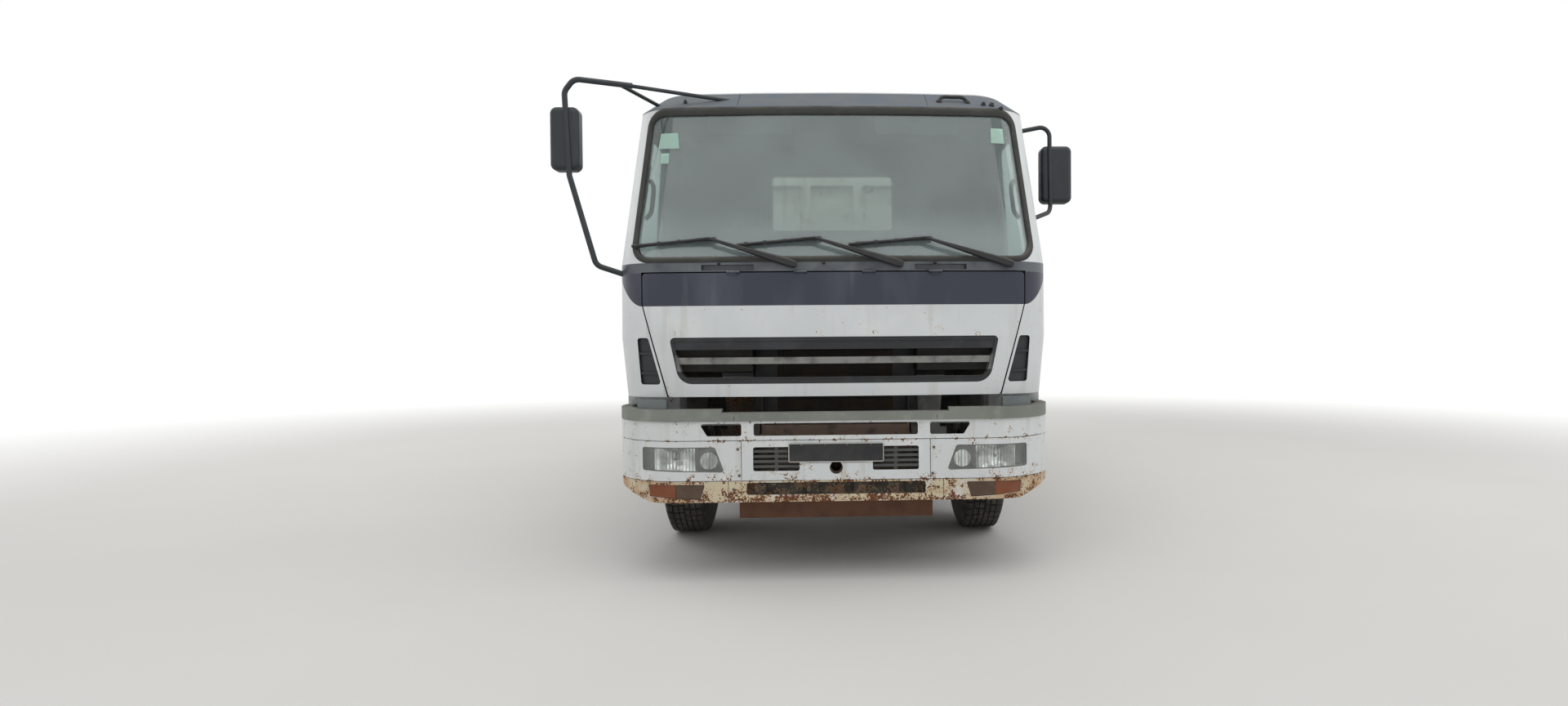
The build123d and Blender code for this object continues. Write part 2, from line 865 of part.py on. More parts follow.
def make_wipers(outer):
    def surface(x, z, off):
        return cab_face_station(x, z) - off
    made = []
    for x in wiper_pivot_x:
        elbow_x, elbow_z = x - wiper_elbow_out, wiper_pivot_z + wiper_elbow_up
        tip_x, tip_z = x - wiper_tip_out, wiper_pivot_z + wiper_tip_up
        elbow = (elbow_x, surface(elbow_x, elbow_z, wiper_proud - 8), elbow_z)
        pivot = rod_y(surface(x, wiper_pivot_z, wiper_proud), surface(x, wiper_pivot_z, -20), x,
                      wiper_pivot_z, wiper_pivot_radius)
        arm = rod_between((x, surface(x, wiper_pivot_z, wiper_proud - 10), wiper_pivot_z), elbow,
                          wiper_radius)
        blade_in = (elbow_x + 30, surface(elbow_x, elbow_z, 20), elbow_z + 2)
        blade_out = (tip_x, surface(tip_x, tip_z, 20), tip_z)
        blade = rod_between(blade_out, blade_in, wiper_radius - 1)
        saddle = [(a + b) / 2 for a, b in zip(blade_in, blade_out)]
        hook = rod_between(elbow, saddle, wiper_radius - 2)
        made.append(fuse([pivot, arm, blade, hook]) - outer)
    save("wipers", *made)


# Cab inside


def make_inside():
    room = cab_volume(cab_wall + fit_gap, cab_floor_z + cab_floor_thick, screen_top_z)
    dash = side_prism(dash_side, -cab_half_belt, cab_half_belt) & room
    save("dashboard", dash - block(-tunnel_half - tunnel_wall - fit_gap,
                                   tunnel_half + tunnel_wall + fit_gap, 0, tunnel_rear_at,
                                   cab_floor_z, tunnel_top_z + tunnel_wall + fit_gap))

    seat_floor = cab_floor_z + cab_floor_thick
    ring = Torus(wheel_ring_radius, wheel_grip_radius)
    spokes = [Rot(0, 0, a) * Pos(wheel_ring_radius / 2, 0, -8) * Box(wheel_ring_radius - 7, 26, 12)
              for a in (90, 210, 330)]
    hub = Pos(0, 0, -18) * Cylinder(52, 40)
    column = Pos(0, 0, -380) * Cylinder(column_radius, 720)
    wheel = fuse([ring, hub, column] + spokes)
    wheel = Pos(wheel_x, at(wheel_at), wheel_z) * Rot(-wheel_tilt, 0, 0) * wheel
    save("steering_wheel", wheel - block(0, cab_half_belt, 0, cab_rear_at, 0, seat_floor))

    seats = []
    for x in (-seat_x, seat_x):
        base = block(x - seat_base_half, x + seat_base_half, seat_front_at + 100, seat_rear_at - 70,
                     seat_floor, seat_low_z)
        cushion = fillet(block(x - seat_half, x + seat_half, seat_front_at, seat_rear_at,
                               seat_low_z, seat_top_z).edges(), seat_soft)
        backrest = side_prism(seat_back_side, x - seat_half + 5, x + seat_half - 5, 30)
        head = side_prism(seat_head_side, x - seat_head_half, x + seat_head_half, 25)
        seats.append(fuse([base, cushion, backrest, head]))
    save("seats", *seats)


# Mirrors


def mirror_head(x, station, z, half_x, half_z):
    head = block(x - half_x, x + half_x, station, station + mirror_depth, z - half_z, z + half_z)
    head = fillet(head.edges().filter_by(Axis.Y), mirror_corner)
    return fillet(head.faces().sort_by(Axis.Y)[0].edges(), mirror_corner - 8)


def tube_along(points, radius, bend):
    path = FilletPolyline(*[(x, at(s), z) for x, s, z in points], radius=bend)
    start = Plane(origin=path @ 0, z_dir=path % 0)
    return sweep(start * Circle(radius), path=path)


def make_mirrors(outer):
    stay = tube_along(mirror_right_stay, mirror_tube, mirror_bend)
    corner = (mirror_right_stay[1][0] + 240, mirror_right_stay[1][1] + 45,
              mirror_right_stay[1][2] - 16)
    links = [rod_between(corner, end, mirror_link_radius) for end in mirror_right_roof_ends]
    head = mirror_head(mirror_right_x, mirror_right_at, mirror_right_z, *mirror_right_half)
    right = fuse([stay, head] + links) - outer
    save("mirror_right", right.solids().sort_by(SortBy.VOLUME)[-1])

    head = mirror_head(mirror_left_x, mirror_left_at, mirror_left_z, *mirror_left_half)
    stay = tube_along(mirror_left_stay, mirror_tube - 2, mirror_bend)
    left = fuse([stay, head]) - outer
    save("mirror_left", left.solids().sort_by(SortBy.VOLUME)[-1])


# Bumper


def bumper_outline(grow, rear):
    half = bumper_half + min(grow, 0)
    pts = [(-half, rear), (-half, -grow), (half, -grow), (half, rear)]
    face = make_face(Polyline(*[(x, at(s)) for x, s in pts], close=True))
    front = face.vertices().sort_by(Axis.Y)[:2]
    return fillet(front, bumper_corner + min(grow, 0))


def bumper_band(outside, inside, z0, z1):
    ring = bumper_outline(outside, bumper_rear_at) - bumper_outline(inside, bumper_rear_at + 50)
    return extrude(Pos(0, 0, z0) * ring, amount=z1 - z0)


def lamp_points(grow):
    low, high = lamp_low_z - grow, lamp_high_z + grow
    return [(lamp_inner_low_x - grow, low), (lamp_outer_x + grow, lamp_end_low_z - grow),
            (lamp_outer_x + grow, high), (lamp_inner_high_x - grow, high)]


def bumper_cuts():
    """Everything cut through the bumper's skin."""
    inner, outer_high, outer_low = slot_outer_x
    paired = [
        front_prism([(bumper_rise_x, bumper_low_z - 1), (bumper_half + 20, bumper_low_z - 1),
                     (bumper_half + 20, bumper_end_low_z)], -20, 600),
        front_prism(lamp_points(fit_gap), -20, 300, lamp_corner),
        front_prism([(inner, slot_low_z), (outer_low, slot_low_z), (outer_high, slot_high_z),
                     (inner, slot_high_z)], -20, 100, slot_corner),
        front_prism(oblong(air_grille_x0, air_grille_x1, air_grille_low_z, air_grille_high_z),
                    -20, 100, slot_corner),
        front_prism(fog_recess, -20, 200, 8),
    ]
    middle = [
        front_prism(oblong(-slot_middle_half, slot_middle_half, slot_low_z, slot_high_z),
                    -20, 100, slot_corner),
        front_prism(oblong(-valance_slot_half, valance_slot_half, valance_slot_low_z,
                           valance_slot_high_z), -20, 100, slot_corner),
        rod_y(-20, 100, 0, tow_z, tow_radius + tow_hole_clear),
    ]
    return fuse([q for cut in paired for q in both_sides(cut)] + middle)


def make_bumper():
    skin = bumper_band(0, -bumper_wall, bumper_low_z, bumper_top_z)
    flanges = [bumper_band(0, -bumper_top_flange, bumper_top_z - bumper_wall, bumper_top_z),
               bumper_band(0, -bumper_low_flange, bumper_low_flange_z,
                           bumper_low_flange_z + bumper_wall)]
    panel = front_prism(oblong(-panel_half, panel_half, panel_low_z, panel_high_z), -panel_proud,
                        bumper_wall / 2, 10)
    save("front_bumper", fuse([skin, panel] + flanges) - bumper_cuts())

    pad = bumper_band(pad_proud, -pad_depth, bumper_top_z, pad_top_z)
    pad -= block(-pad_mid_half, pad_mid_half, -50, 300, pad_top_z - pad_mid_drop, pad_top_z + 5)
    x0, x1, e = air_grille_x0, air_grille_x1, air_grille_edge
    slats = [front_prism(oblong(x0, x1, z - air_grille_slat_half, z + air_grille_slat_half),
                         bumper_wall, bumper_wall + 26) for z in air_grille_slat_z]
    back = front_prism(oblong(x0 - e, x1 + e, air_grille_low_z - e, air_grille_high_z + e),
                       bumper_wall, bumper_wall + 6)
    back -= front_prism(oblong(x0, x1, air_grille_low_z, air_grille_high_z), 0, 60)
    post = front_prism(oblong((x0 + x1) / 2 - 10, (x0 + x1) / 2 + 10, air_grille_low_z - e,
                              air_grille_high_z + e), bumper_wall + 4, bumper_wall + 12)
    save("bumper_trim", pad, *both_sides(fuse([back, post] + slats)))

    ring = bumper_outline(-2, bumper_rear_at) - bumper_outline(-lamp_depth, bumper_rear_at + 50)
    ring = extrude(Pos(0, 0, lamp_low_z - 40) * ring, amount=lamp_high_z - lamp_low_z + 80)
    lamp = ring & front_prism(lamp_points(0), -20, 300, lamp_corner)
    save("headlamps", *both_sides(lamp))

    corner = bumper_band(-corner_lamp_front, -corner_lamp_rear, pad_top_z, corner_lamp_top_z)
    corner &= front_prism(oblong(corner_lamp_x0, corner_lamp_x1, pad_top_z, corner_lamp_top_z),
                          -20, 400)
    save("corner_lamps", *both_sides(corner))


# Frame


def rail():
    web = block(web_inner_x, rail_outer_x, rail_front_at, rail_rear_at, rail_bottom_z, rail_top_z)
    low = block(rail_inner_x, rail_outer_x, rail_front_at, rail_rear_at,
                rail_bottom_z, rail_bottom_z + rail_web)
    high = block(rail_inner_x, rail_outer_x, rail_front_at, rail_rear_at,
                 rail_top_z - rail_web, rail_top_z)
    return fuse([web, low, high])


def hanger(station, eye_z):
    """Cheeks on both sides of a spring's eye, under the rail."""
    inner = spring_x - spring_half - 2 - hanger_plate
    outer = spring_x + spring_half + 2
    s0, s1 = station - hanger_half, station + hanger_half
    cheeks = [block(x, x + hanger_plate, s0, s1, eye_z - 38, rail_bottom_z) for x in (inner, outer)]
    cap = block(inner, outer + hanger_plate, s0, s1, rail_bottom_z - hanger_plate, rail_bottom_z)
    return cheeks + [cap]


def shelf(side, station, top_z, reach):
    """An angle bracket on the rail's outside that carries a tank or box."""
    pair = [block(rail_outer_x, rail_outer_x + 14, station - 30, station + 30,
                  top_z - 16, rail_top_z - 30),
            block(rail_outer_x, reach, station - 30, station + 30, top_z - 16, top_z)]
    shape = fuse(pair)
    return shape if side > 0 else mirrored(shape)


def make_frame():
    pieces = both_sides(rail())
    crossings = (  # columns: first station, last station, lowest, highest
        (rail_front_at, 430, rail_bottom_z, rail_bottom_z + 90),
        (rail_front_at, 300, tow_cross_low_z, rail_bottom_z + 10),
        (2980, 3060, rail_bottom_z + 60, rail_top_z - 30),
        (4120, 4200, rail_bottom_z + 30, rail_top_z - 30),
        (trunnion_at - 70, trunnion_at + 70, rail_bottom_z, rail_bottom_z + 40),
        (bed_hinge_at - 80, bed_hinge_at, rail_bottom_z + 20, rail_top_z - 20),
    )
    for s0, s1, z0, z1 in crossings:
        pieces.append(block(-web_inner_x - 5, web_inner_x + 5, s0, s1, z0, z1))
    # bumper brackets, tow socket, low front beam and the fixed half of the cab's tilt pin
    pieces += both_sides(block(rail_inner_x, rail_outer_x, bumper_wall + fit_gap, rail_front_at + 5,
                               bracket_low_z, bracket_high_z))
    pieces.append(block(-under_beam_half, under_beam_half, *under_beam_at, *under_beam_z))
    pieces += both_sides(block(rail_inner_x, rail_outer_x, under_beam_at[0] + 20, under_beam_at[1],
                               under_beam_z[1] - 5, tilt_pivot_z))
    pieces.append(rod_y(tow_socket_front_at, rail_front_at + 5, 0, tow_z, tow_radius + tow_wall))
    tilt = [block(rail_inner_x, rail_outer_x, tilt_pivot_at - 40, rail_front_at + 5,
                  tilt_pivot_z - 45, rail_bottom_z + 20),
            rod_x(rail_inner_x, tilt_arm_x1 + 4, tilt_pivot_at, tilt_pivot_z, tilt_pin_radius)]
    pieces += [q for piece in tilt for q in both_sides(piece)]
    # rear cab mounts, spring hangers, shelves and trunnion brackets
    pieces += both_sides(block(rail_inner_x, rail_outer_x, cab_rear_at - 100, cab_rear_at - 30,
                               rail_top_z, cab_floor_z - fit_gap))
    for station in (front_axle_at - front_spring_reach, front_axle_at + front_spring_reach):
        for piece in hanger(station, front_spring_eye_z):
            pieces += both_sides(piece)
    for station in (tank_front_at + 120, tank_rear_at - 120):
        pieces.append(shelf(1, station, tank_low_z, tank_outer_x - 60))
    for station in (box_front_at + 80, box_rear_at - 80):
        pieces.append(shelf(-1, station, box_low_z, box_outer_x - 60))
    for station in (reservoir_front_at + 130, reservoir_rear_at - 130):
        pieces.append(shelf(-1, station, reservoir_z - reservoir_radius, reservoir_x[1] + 60))
    bracket = side_prism([(trunnion_at - 130, rail_top_z - 40), (trunnion_at + 130, rail_top_z - 40),
                          (trunnion_at + 80, trunnion_z - 60), (trunnion_at - 80, trunnion_z - 60)],
                         rail_outer_x, rail_outer_x + 35, 20)
    pieces += both_sides(bracket)
    pieces += both_sides(rod_x(rail_outer_x, trunnion_reach, trunnion_at, trunnion_z,
                               trunnion_radius))
    # base of the hoist: two ears on the trunnion crossmember
    for x in (-eye_half - 26, eye_half + 6):
        pieces.append(block(x, x + 20, hoist_base_at - 55, hoist_base_at + 55,
                            rail_bottom_z + 40, hoist_base_z + 50))
    pieces.append(rod_x(-eye_half - 26, eye_half + 26, hoist_base_at, hoist_base_z,
                        hoist_pin_radius))
    # rear towing plate
    pieces.append(block(-tow_plate_half, tow_plate_half, bed_hinge_at - 5, bed_hinge_at + 20,
                        rail_bottom_z + 20, rail_top_z - 20))
    frame = fuse(pieces)
    holes = [rod_y(bed_hinge_at - 100, bed_hinge_at + 60, x, z, tow_bolt_radius)
             for x in (-tow_bolt_x / 2, tow_bolt_x / 2)
             for z in (tow_plate_z - tow_bolt_z / 2, tow_plate_z + tow_bolt_z / 2)]
    holes.append(rod_y(tow_socket_front_at - 5, tow_socket_front_at + tow_bore_length, 0, tow_z,
                       tow_radius))
    save("chassis_frame", frame - fuse(holes))


def make_subframe():
    pieces = both_sides(block(rail_inner_x, rail_outer_x, subframe_front_at, bed_hinge_at - 60,
                              rail_top_z, subframe_top_z))
    for station in (subframe_front_at + 30, 3600, 4300, 6500):
        pieces.append(block(-rail_inner_x - 5, rail_inner_x + 5, station, station + 70,
                            rail_top_z + 20, subframe_top_z - 20))
    bracket = [block(rail_inner_x, rail_outer_x, bed_hinge_at - 70, bed_hinge_at + 45,
                     rail_top_z, bed_hinge_z),
               rod_x(rail_inner_x, rail_outer_x, bed_hinge_at, bed_hinge_z, hinge_boss_radius)]
    pieces += [q for piece in bracket for q in both_sides(piece)]
    pieces.append(rod_x(-lug_x1 - 8, lug_x1 + 8, bed_hinge_at, bed_hinge_z, hinge_pin_radius))
    save("hoist_subframe", fuse(pieces))


# Springs


def bowed_leaf(x0, station, centre_z, radius, thick, half, side):
    """One leaf of a bowed stack. side is -1 where its middle hangs low and 1 where it arches up."""
    reach = half / radius
    inner, outer = [[(station + r * sin(reach * k), centre_z + side * r * cos(reach * k))
                     for k in (-1, 0, 1)] for r in (radius, radius + thick)]
    near = ThreePointArc(*[(at(s), z) for s, z in inner])
    far = ThreePointArc(*[(at(s), z) for s, z in reversed(outer)])
    face = make_face([near, Line(near @ 1, far @ 0), far, Line(far @ 1, near @ 0)])
    return extrude(Plane.YZ.offset(x0) * face, amount=2 * spring_half)


def make_springs():
    x0 = spring_x - spring_half
    total = leaf_thick * len(front_leaf_half)
    rise = front_spring_eye_z - 12 - (beam_pad_z + total)
    radius = (front_spring_reach ** 2 + rise ** 2) / (2 * rise)
    centre_z = beam_pad_z + total + radius
    made = []
    for i, half in enumerate(front_leaf_half):
        inner = radius + total - leaf_thick * (i + 1)
        made.append(bowed_leaf(x0, front_axle_at, centre_z, inner, leaf_thick, half, -1))
    for side in (-1, 1):
        station = front_axle_at + side * front_spring_reach
        made.append(rod_x(x0, x0 + 2 * spring_half, station, front_spring_eye_z,
                          spring_eye_radius))
        made.append(rod_x(x0 - 2 + fit_gap, x0 + 2 * spring_half + 2 - fit_gap, station,
                          front_spring_eye_z, spring_pin_radius))
    front = fuse(made)

    centre_low = trunnion_z + trunnion_radius + fit_gap + 34
    rise = centre_low - (axle_z + axle_tube + axle_pad)
    radius = (rear_leaf_half[0] ** 2 + rise ** 2) / (2 * rise)
    leaves = [bowed_leaf(rear_spring_x0, trunnion_at, centre_low - radius,
                         radius + rear_leaf_thick * i, rear_leaf_thick, half, 1)
              for i, half in enumerate(rear_leaf_half)]
    saddle = block(rear_spring_x0, rear_spring_x0 + 2 * spring_half, trunnion_at - saddle_half,
                   trunnion_at + saddle_half, trunnion_z - saddle_half, centre_low + 40)
    saddle -= rod_x(rear_spring_x0 - 1, rear_spring_x0 + 2 * spring_half + 1, trunnion_at,
                    trunnion_z, trunnion_radius + fit_gap)
    save("leaf_springs", *both_sides(front), *both_sides(fuse(leaves + [saddle])))


# Axles and steering


def make_front_axle():
    half = kingpin_x
    low, top = beam_low_z, beam_pad_z
    knee, flat = beam_knee_x, beam_flat_x
    outline_points = [(-half, axle_z - beam_end_half), (-knee, axle_z - beam_end_half),
                      (-flat, low), (flat, low), (knee, axle_z - beam_end_half),
                      (half, axle_z - beam_end_half), (half, axle_z + beam_end_half),
                      (knee + 20, axle_z + beam_end_half), (flat - 40, top), (40 - flat, top),
                      (-knee - 20, axle_z + beam_end_half), (-half, axle_z + beam_end_half)]
    beam = front_prism(outline_points, front_axle_at - beam_half_depth,
                       front_axle_at + beam_half_depth)
    # the grooves leave an I section between the spring pads
    hollow = [(10 - flat, low + beam_wall), (flat - 10, low + beam_wall),
              (flat - 60, top - beam_wall), (60 - flat, top - beam_wall)]
    beam -= front_prism(hollow, front_axle_at - beam_half_depth - 1,
                        front_axle_at - beam_rib_half, 10)
    beam -= front_prism(hollow, front_axle_at + beam_rib_half,
                        front_axle_at + beam_half_depth + 1, 10)
    for x in (-kingpin_x, kingpin_x):
        beam += rod_z(axle_z - beam_end_half, axle_z + beam_end_half, x, front_axle_at,
                      knuckle_boss_radius)
        beam -= rod_z(axle_z - 100, axle_z + 100, x, front_axle_at, kingpin_radius + pin_gap)
    # the beam's square end is cut back to the boss
    for side in (-1, 1):
        x0, x1 = sorted((side * (kingpin_x - 5), side * (kingpin_x + 80)))
        end = block(x0, x1, front_axle_at - beam_half_depth - 1, front_axle_at + beam_half_depth + 1,
                    axle_z - beam_end_half - 1, axle_z + beam_end_half + 1)
        beam -= end - rod_z(axle_z - 200, axle_z + 200, side * kingpin_x, front_axle_at,
                            knuckle_boss_radius)
    save("front_axle", beam)


def make_knuckle():
    lugs = []
    for z0, z1 in ((axle_z + beam_end_half + lug_clear, axle_z + beam_end_half + lug_thick),
                   (axle_z - beam_end_half - lug_thick, axle_z - beam_end_half - lug_clear)):
        lugs.append(rod_z(z0, z1, kingpin_x, front_axle_at, knuckle_boss_radius))
        lugs.append(block(kingpin_x, knuckle_flange_x0 + 5, front_axle_at - 40, front_axle_at + 40,
                          z0, z1))
    web = rod_x(knuckle_flange_x0, knuckle_flange_x1, front_axle_at, axle_z, knuckle_flange_radius)
    spindle = rod_x(knuckle_flange_x1 - 5, spindle_end_x, front_axle_at, axle_z, spindle_radius)
    pin = rod_z(axle_z - beam_end_half - lug_thick, axle_z + beam_end_half + lug_thick, kingpin_x,
                front_axle_at, kingpin_radius)
    arm_top = axle_z - beam_end_half - lug_clear
    arm_low = arm_top - steering_arm_thick
    arm_x = kingpin_x - steering_pin_inboard
    eye_at = front_axle_at + steering_pin_behind
    arm = plan_prism([(kingpin_x + 25, front_axle_at + 10), (kingpin_x - 35, front_axle_at + 10),
                      (arm_x - 24, eye_at), (arm_x + 24, eye_at)], arm_low, arm_top)
    eye = rod_z(arm_low, arm_top, arm_x, eye_at, ball_housing_radius + 4)
    shape = fuse(lugs + [web, spindle, pin, arm, eye])
    # the left arm holds its own ball pin, and the right one is bored for the tie rod's
    pin_top = arm_top + ball_pin_rise
    save("knuckle_left", shape + rod_z(arm_low + 1, pin_top, arm_x, eye_at, ball_pin_radius))
    save("knuckle_right", mirrored(shape - rod_z(0, arm_top + 1, arm_x, eye_at,
                                                 ball_pin_radius + pin_gap)))

    # the left housing ends just under its arm, where the linkage is open
    rod = rod_x(-arm_x, arm_x, eye_at, tie_rod_z, tie_rod_radius)
    housings = [rod_z(tie_rod_z - ball_housing_radius - 4, arm_low - lug_clear, x, eye_at,
                      ball_housing_radius) for x in (-arm_x, arm_x)]
    right_pin = rod_z(tie_rod_z, pin_top, -arm_x, eye_at, ball_pin_radius)
    save("tie_rod", fuse([rod, right_pin] + housings))


def make_rear_axles():
    made = []
    for station in rear_axle_at:
        tube = rod_x(-715, 715, station, axle_z, axle_tube)
        spindles = both_sides(rod_x(710, rear_spindle_end_x, station, axle_z, rear_spindle_radius))
        bowl = turned([(-190, 0), (-190, 90), (-110, 210), (60, 210), (150, 90), (150, 0)], 0,
                      station, axle_z)
        nose = rod_y(station - axle_nose_reach, station, 0, axle_nose_z, 95)
        pads = both_sides(block(rear_spring_x0, rear_spring_x0 + 2 * spring_half, station - 60,
                                station + 60, axle_z, axle_z + axle_tube + axle_pad - 1))
        made.append(fuse([tube, bowl, nose] + spindles + pads))
    save("rear_axles", *made)


def tyre(x, station):
    s, b, w = tyre_shoulder_half, tyre_bead_half, tyre_half_width
    profile = [(-b, rim_radius), (-w, tyre_wide_radius), (-s, tyre_radius), (s, tyre_radius),
               (w, tyre_wide_radius), (b, rim_radius)]
    return turned(profile, x, station, axle_z)


def hand_holes(x0, x1, station):
    holes = []
    for i in range(hand_hole_count):
        a = radians(360 / hand_hole_count * (i + 0.5))
        holes.append(Pos(0, hand_hole_circle * cos(a), hand_hole_circle * sin(a)) *
                     rod_x(x0, x1, station, axle_z, hand_hole_radius))
    return fuse(holes)


def make_front_wheel():
    x = front_wheel_x
    out = rim_radius - fit_gap
    inn = out - rim_wall
    # half section of rim, disc, hub and drum, from the outer lip round to the inner lip
    section = [(-rim_half_width, inn), (-rim_half_width, out), (rim_half_width, out),
               (rim_half_width, inn), (62, inn), (74, 150), (74, hub_radius),
               (138, hub_radius - 14), (138, 66), (158, 60), (158, 0), (92, 0),
               (92, spindle_radius + pin_gap), (front_hub_inner_x - x, spindle_radius + pin_gap),
               (front_hub_inner_x - x, hub_radius - 20), (30, hub_radius - 20), (30, 190),
               (-105, 190), (-105, drum_radius), (44, drum_radius), (50, inn)]
    wheel = turned(section, x, front_axle_at, axle_z)
    wheel -= hand_holes(x + 52, x + 90, front_axle_at) - turned(
        [(-120, 0), (-120, drum_radius), (46, drum_radius), (46, 0)], x, front_axle_at, axle_z)
    save("wheel_front_left", wheel)
    save("wheel_front_right", mirrored(wheel))
    save("tyre_front_left", tyre(x, front_axle_at))
    save("tyre_front_right", mirrored(tyre(x, front_axle_at)))


def make_rear_wheels():
    mid = rear_track / 2
    out = rim_radius - fit_gap
    inn = out - rim_wall
    half = twin_spacing / 2
    lip, well = half + rim_half_width, half - rim_half_width
    bore = rear_spindle_radius + pin_gap
    hub0, hub1 = rear_hub_inner_x - mid, 165
    section = [(well, out), (lip, out), (lip, inn), (well + 4, inn), (20, 205), (20, hub_radius),
               (hub1, hub_radius - 8), (hub1, 70), (hub1 + 14, 62), (hub1 + 14, 0),
               (rear_spindle_end_x + 2 - mid, 0), (rear_spindle_end_x + 2 - mid, bore),
               (hub0, bore), (hub0, hub_radius - 20), (-50, hub_radius - 20), (-50, 186),
               (-225, 186), (-225, 200), (-30, 200), (-14, 205), (-well, inn), (-lip, inn),
               (-lip, out), (-well, out), (0, 226)]
    wheel = turned(section, mid, rear_axle_at[0], axle_z)
    wheel -= hand_holes(mid - 8, mid + 30, rear_axle_at[0])
    tyres = [tyre(mid - half, rear_axle_at[0]), tyre(mid + half, rear_axle_at[0])]
    for name, station in zip(("a", "b"), rear_axle_at):
        shift = Pos(0, station - rear_axle_at[0], 0)
        save(f"wheel_rear_{name}_left", shift * wheel)
        save(f"wheel_rear_{name}_right", mirrored(shift * wheel))
        save(f"tyres_rear_{name}_left", *[shift * t for t in tyres])
        save(f"tyres_rear_{name}_right", *[mirrored(shift * t) for t in tyres])


# Power train and what hangs on the frame


def make_power_train():
    case = block(-engine_half, engine_half, engine_front_at, engine_rear_at, engine_low_z,
                 engine_high_z)
    case = fillet(case.edges().filter_by(Axis.Y), 40)
    gearbox = block(-gearbox_half, gearbox_half, engine_rear_at - 5, gearbox_rear_at,
                    gearbox_low_z, gearbox_high_z)
    tail = rod_y(gearbox_rear_at - 5, output_rear_at, 0, output_z, output_radius)
    mount = [block(engine_half - 5, web_inner_x - fit_gap, s, s + 120, 860, 960)
             for s in engine_mount_at]
    save("engine", fuse([case, gearbox, tail] + [q for m in mount for q in both_sides(m)]))

    face, back = radiator_front_at, radiator_front_at + radiator_depth
    core = block(-engine_half, engine_half, face, back, rail_bottom_z + 90, tunnel_top_z - 20)
    fins = [block(-engine_half + 35, engine_half - 35, face - 10, face + 5, z, z + 14)
            for z in range(900, 1400, 70)]
    save("radiator", fuse([core] + fins))

    nose_at = rear_axle_at[0] - axle_nose_reach
    first = rod_between((0, output_rear_at + fit_gap, output_z),
                        (0, nose_at - fit_gap, axle_nose_z), shaft_radius)
    second = rod_y(rear_axle_at[0] + axle_bowl_rear + fit_gap,
                   rear_axle_at[1] - axle_nose_reach - fit_gap, 0, axle_nose_z, shaft_radius - 8)
    ends = block(-200, 200, output_rear_at - 200, output_rear_at + fit_gap, 500, 950)
    ends += block(-200, 200, nose_at - fit_gap, nose_at + 200, 300, 900)
    save("prop_shafts", first - ends, second)

    w0, w1 = tank_inner_x, tank_outer_x
    tank = front_prism([(w0, tank_low_z), (w1, tank_low_z), (w1, tank_high_z), (w0, tank_high_z)],
                       tank_front_at, tank_rear_at, 120)
    cap = rod_z(tank_high_z - 5, tank_high_z + 28, w1 - 190, tank_front_at + 160, 48)
    straps = [front_prism([(w0 - 2, tank_low_z), (w1 + 6, tank_low_z), (w1 + 6, tank_high_z + 6),
                           (w0 - 2, tank_high_z + 6)], s - 25, s + 25, 124)
              for s in (tank_front_at + 120, tank_rear_at - 120)]
    save("fuel_tank", fuse([tank, cap] + straps))

    box = block(-box_outer_x, -box_inner_x, box_front_at, box_rear_at, box_low_z, box_high_z)
    box = fillet(box.edges().filter_by(Axis.Y), 18)
    save("battery_box", box)
    tanks = [fillet(rod_y(reservoir_front_at, reservoir_rear_at, -x, reservoir_z,
                          reservoir_radius).edges(), 40) for x in reservoir_x]
    save("air_tanks", *tanks)

    (m0, m1), (low, high), (s0, s1) = muffler_x, muffler_z, muffler_at
    muffler = front_prism([(-m1, low), (-m0, low), (-m0, high), (-m1, high)], s0, s1, 110)
    pipe = rod_x(-m0 - 5, -gearbox_half - fit_gap, s1 - 130, exhaust_pipe_z, exhaust_pipe_radius)
    outlet = rod_x(-m1 - 80, -m1 + 10, s0 + 170, outlet_z, exhaust_pipe_radius)
    hold = [block(-m0 - 5, -rail_outer_x - fit_gap, s, s + 40, high - 120, high - 40)
            for s in (s0 + 30, s1 - 70)]
    save("exhaust", fuse([muffler, pipe, outlet] + hold))

    # air cleaner and its high intake behind the cab
    (x0, x1), (s0, s1) = intake_x, intake_at
    stack = fillet(block(x0, x1, s0, s1, intake_low_z, intake_high_z).edges().filter_by(Axis.Z), 50)
    cap = side_prism([(s0 - 20, intake_high_z - 40), (s1 + 50, intake_high_z - 40),
                      (s1 + 20, intake_cap_z), (s0 + 20, intake_cap_z)], x0 - 20, x1 + 20, 30)
    foot = block(rail_inner_x, x1 - 120, s0 + 60, s1 - 60, rail_top_z, rail_top_z + 60)
    neck = block(x0 + 40, x1 - 120, s0 + 60, s1 - 60, rail_top_z + 55, intake_low_z + 5)
    save("air_intake", fuse([stack, cap, foot, neck]))


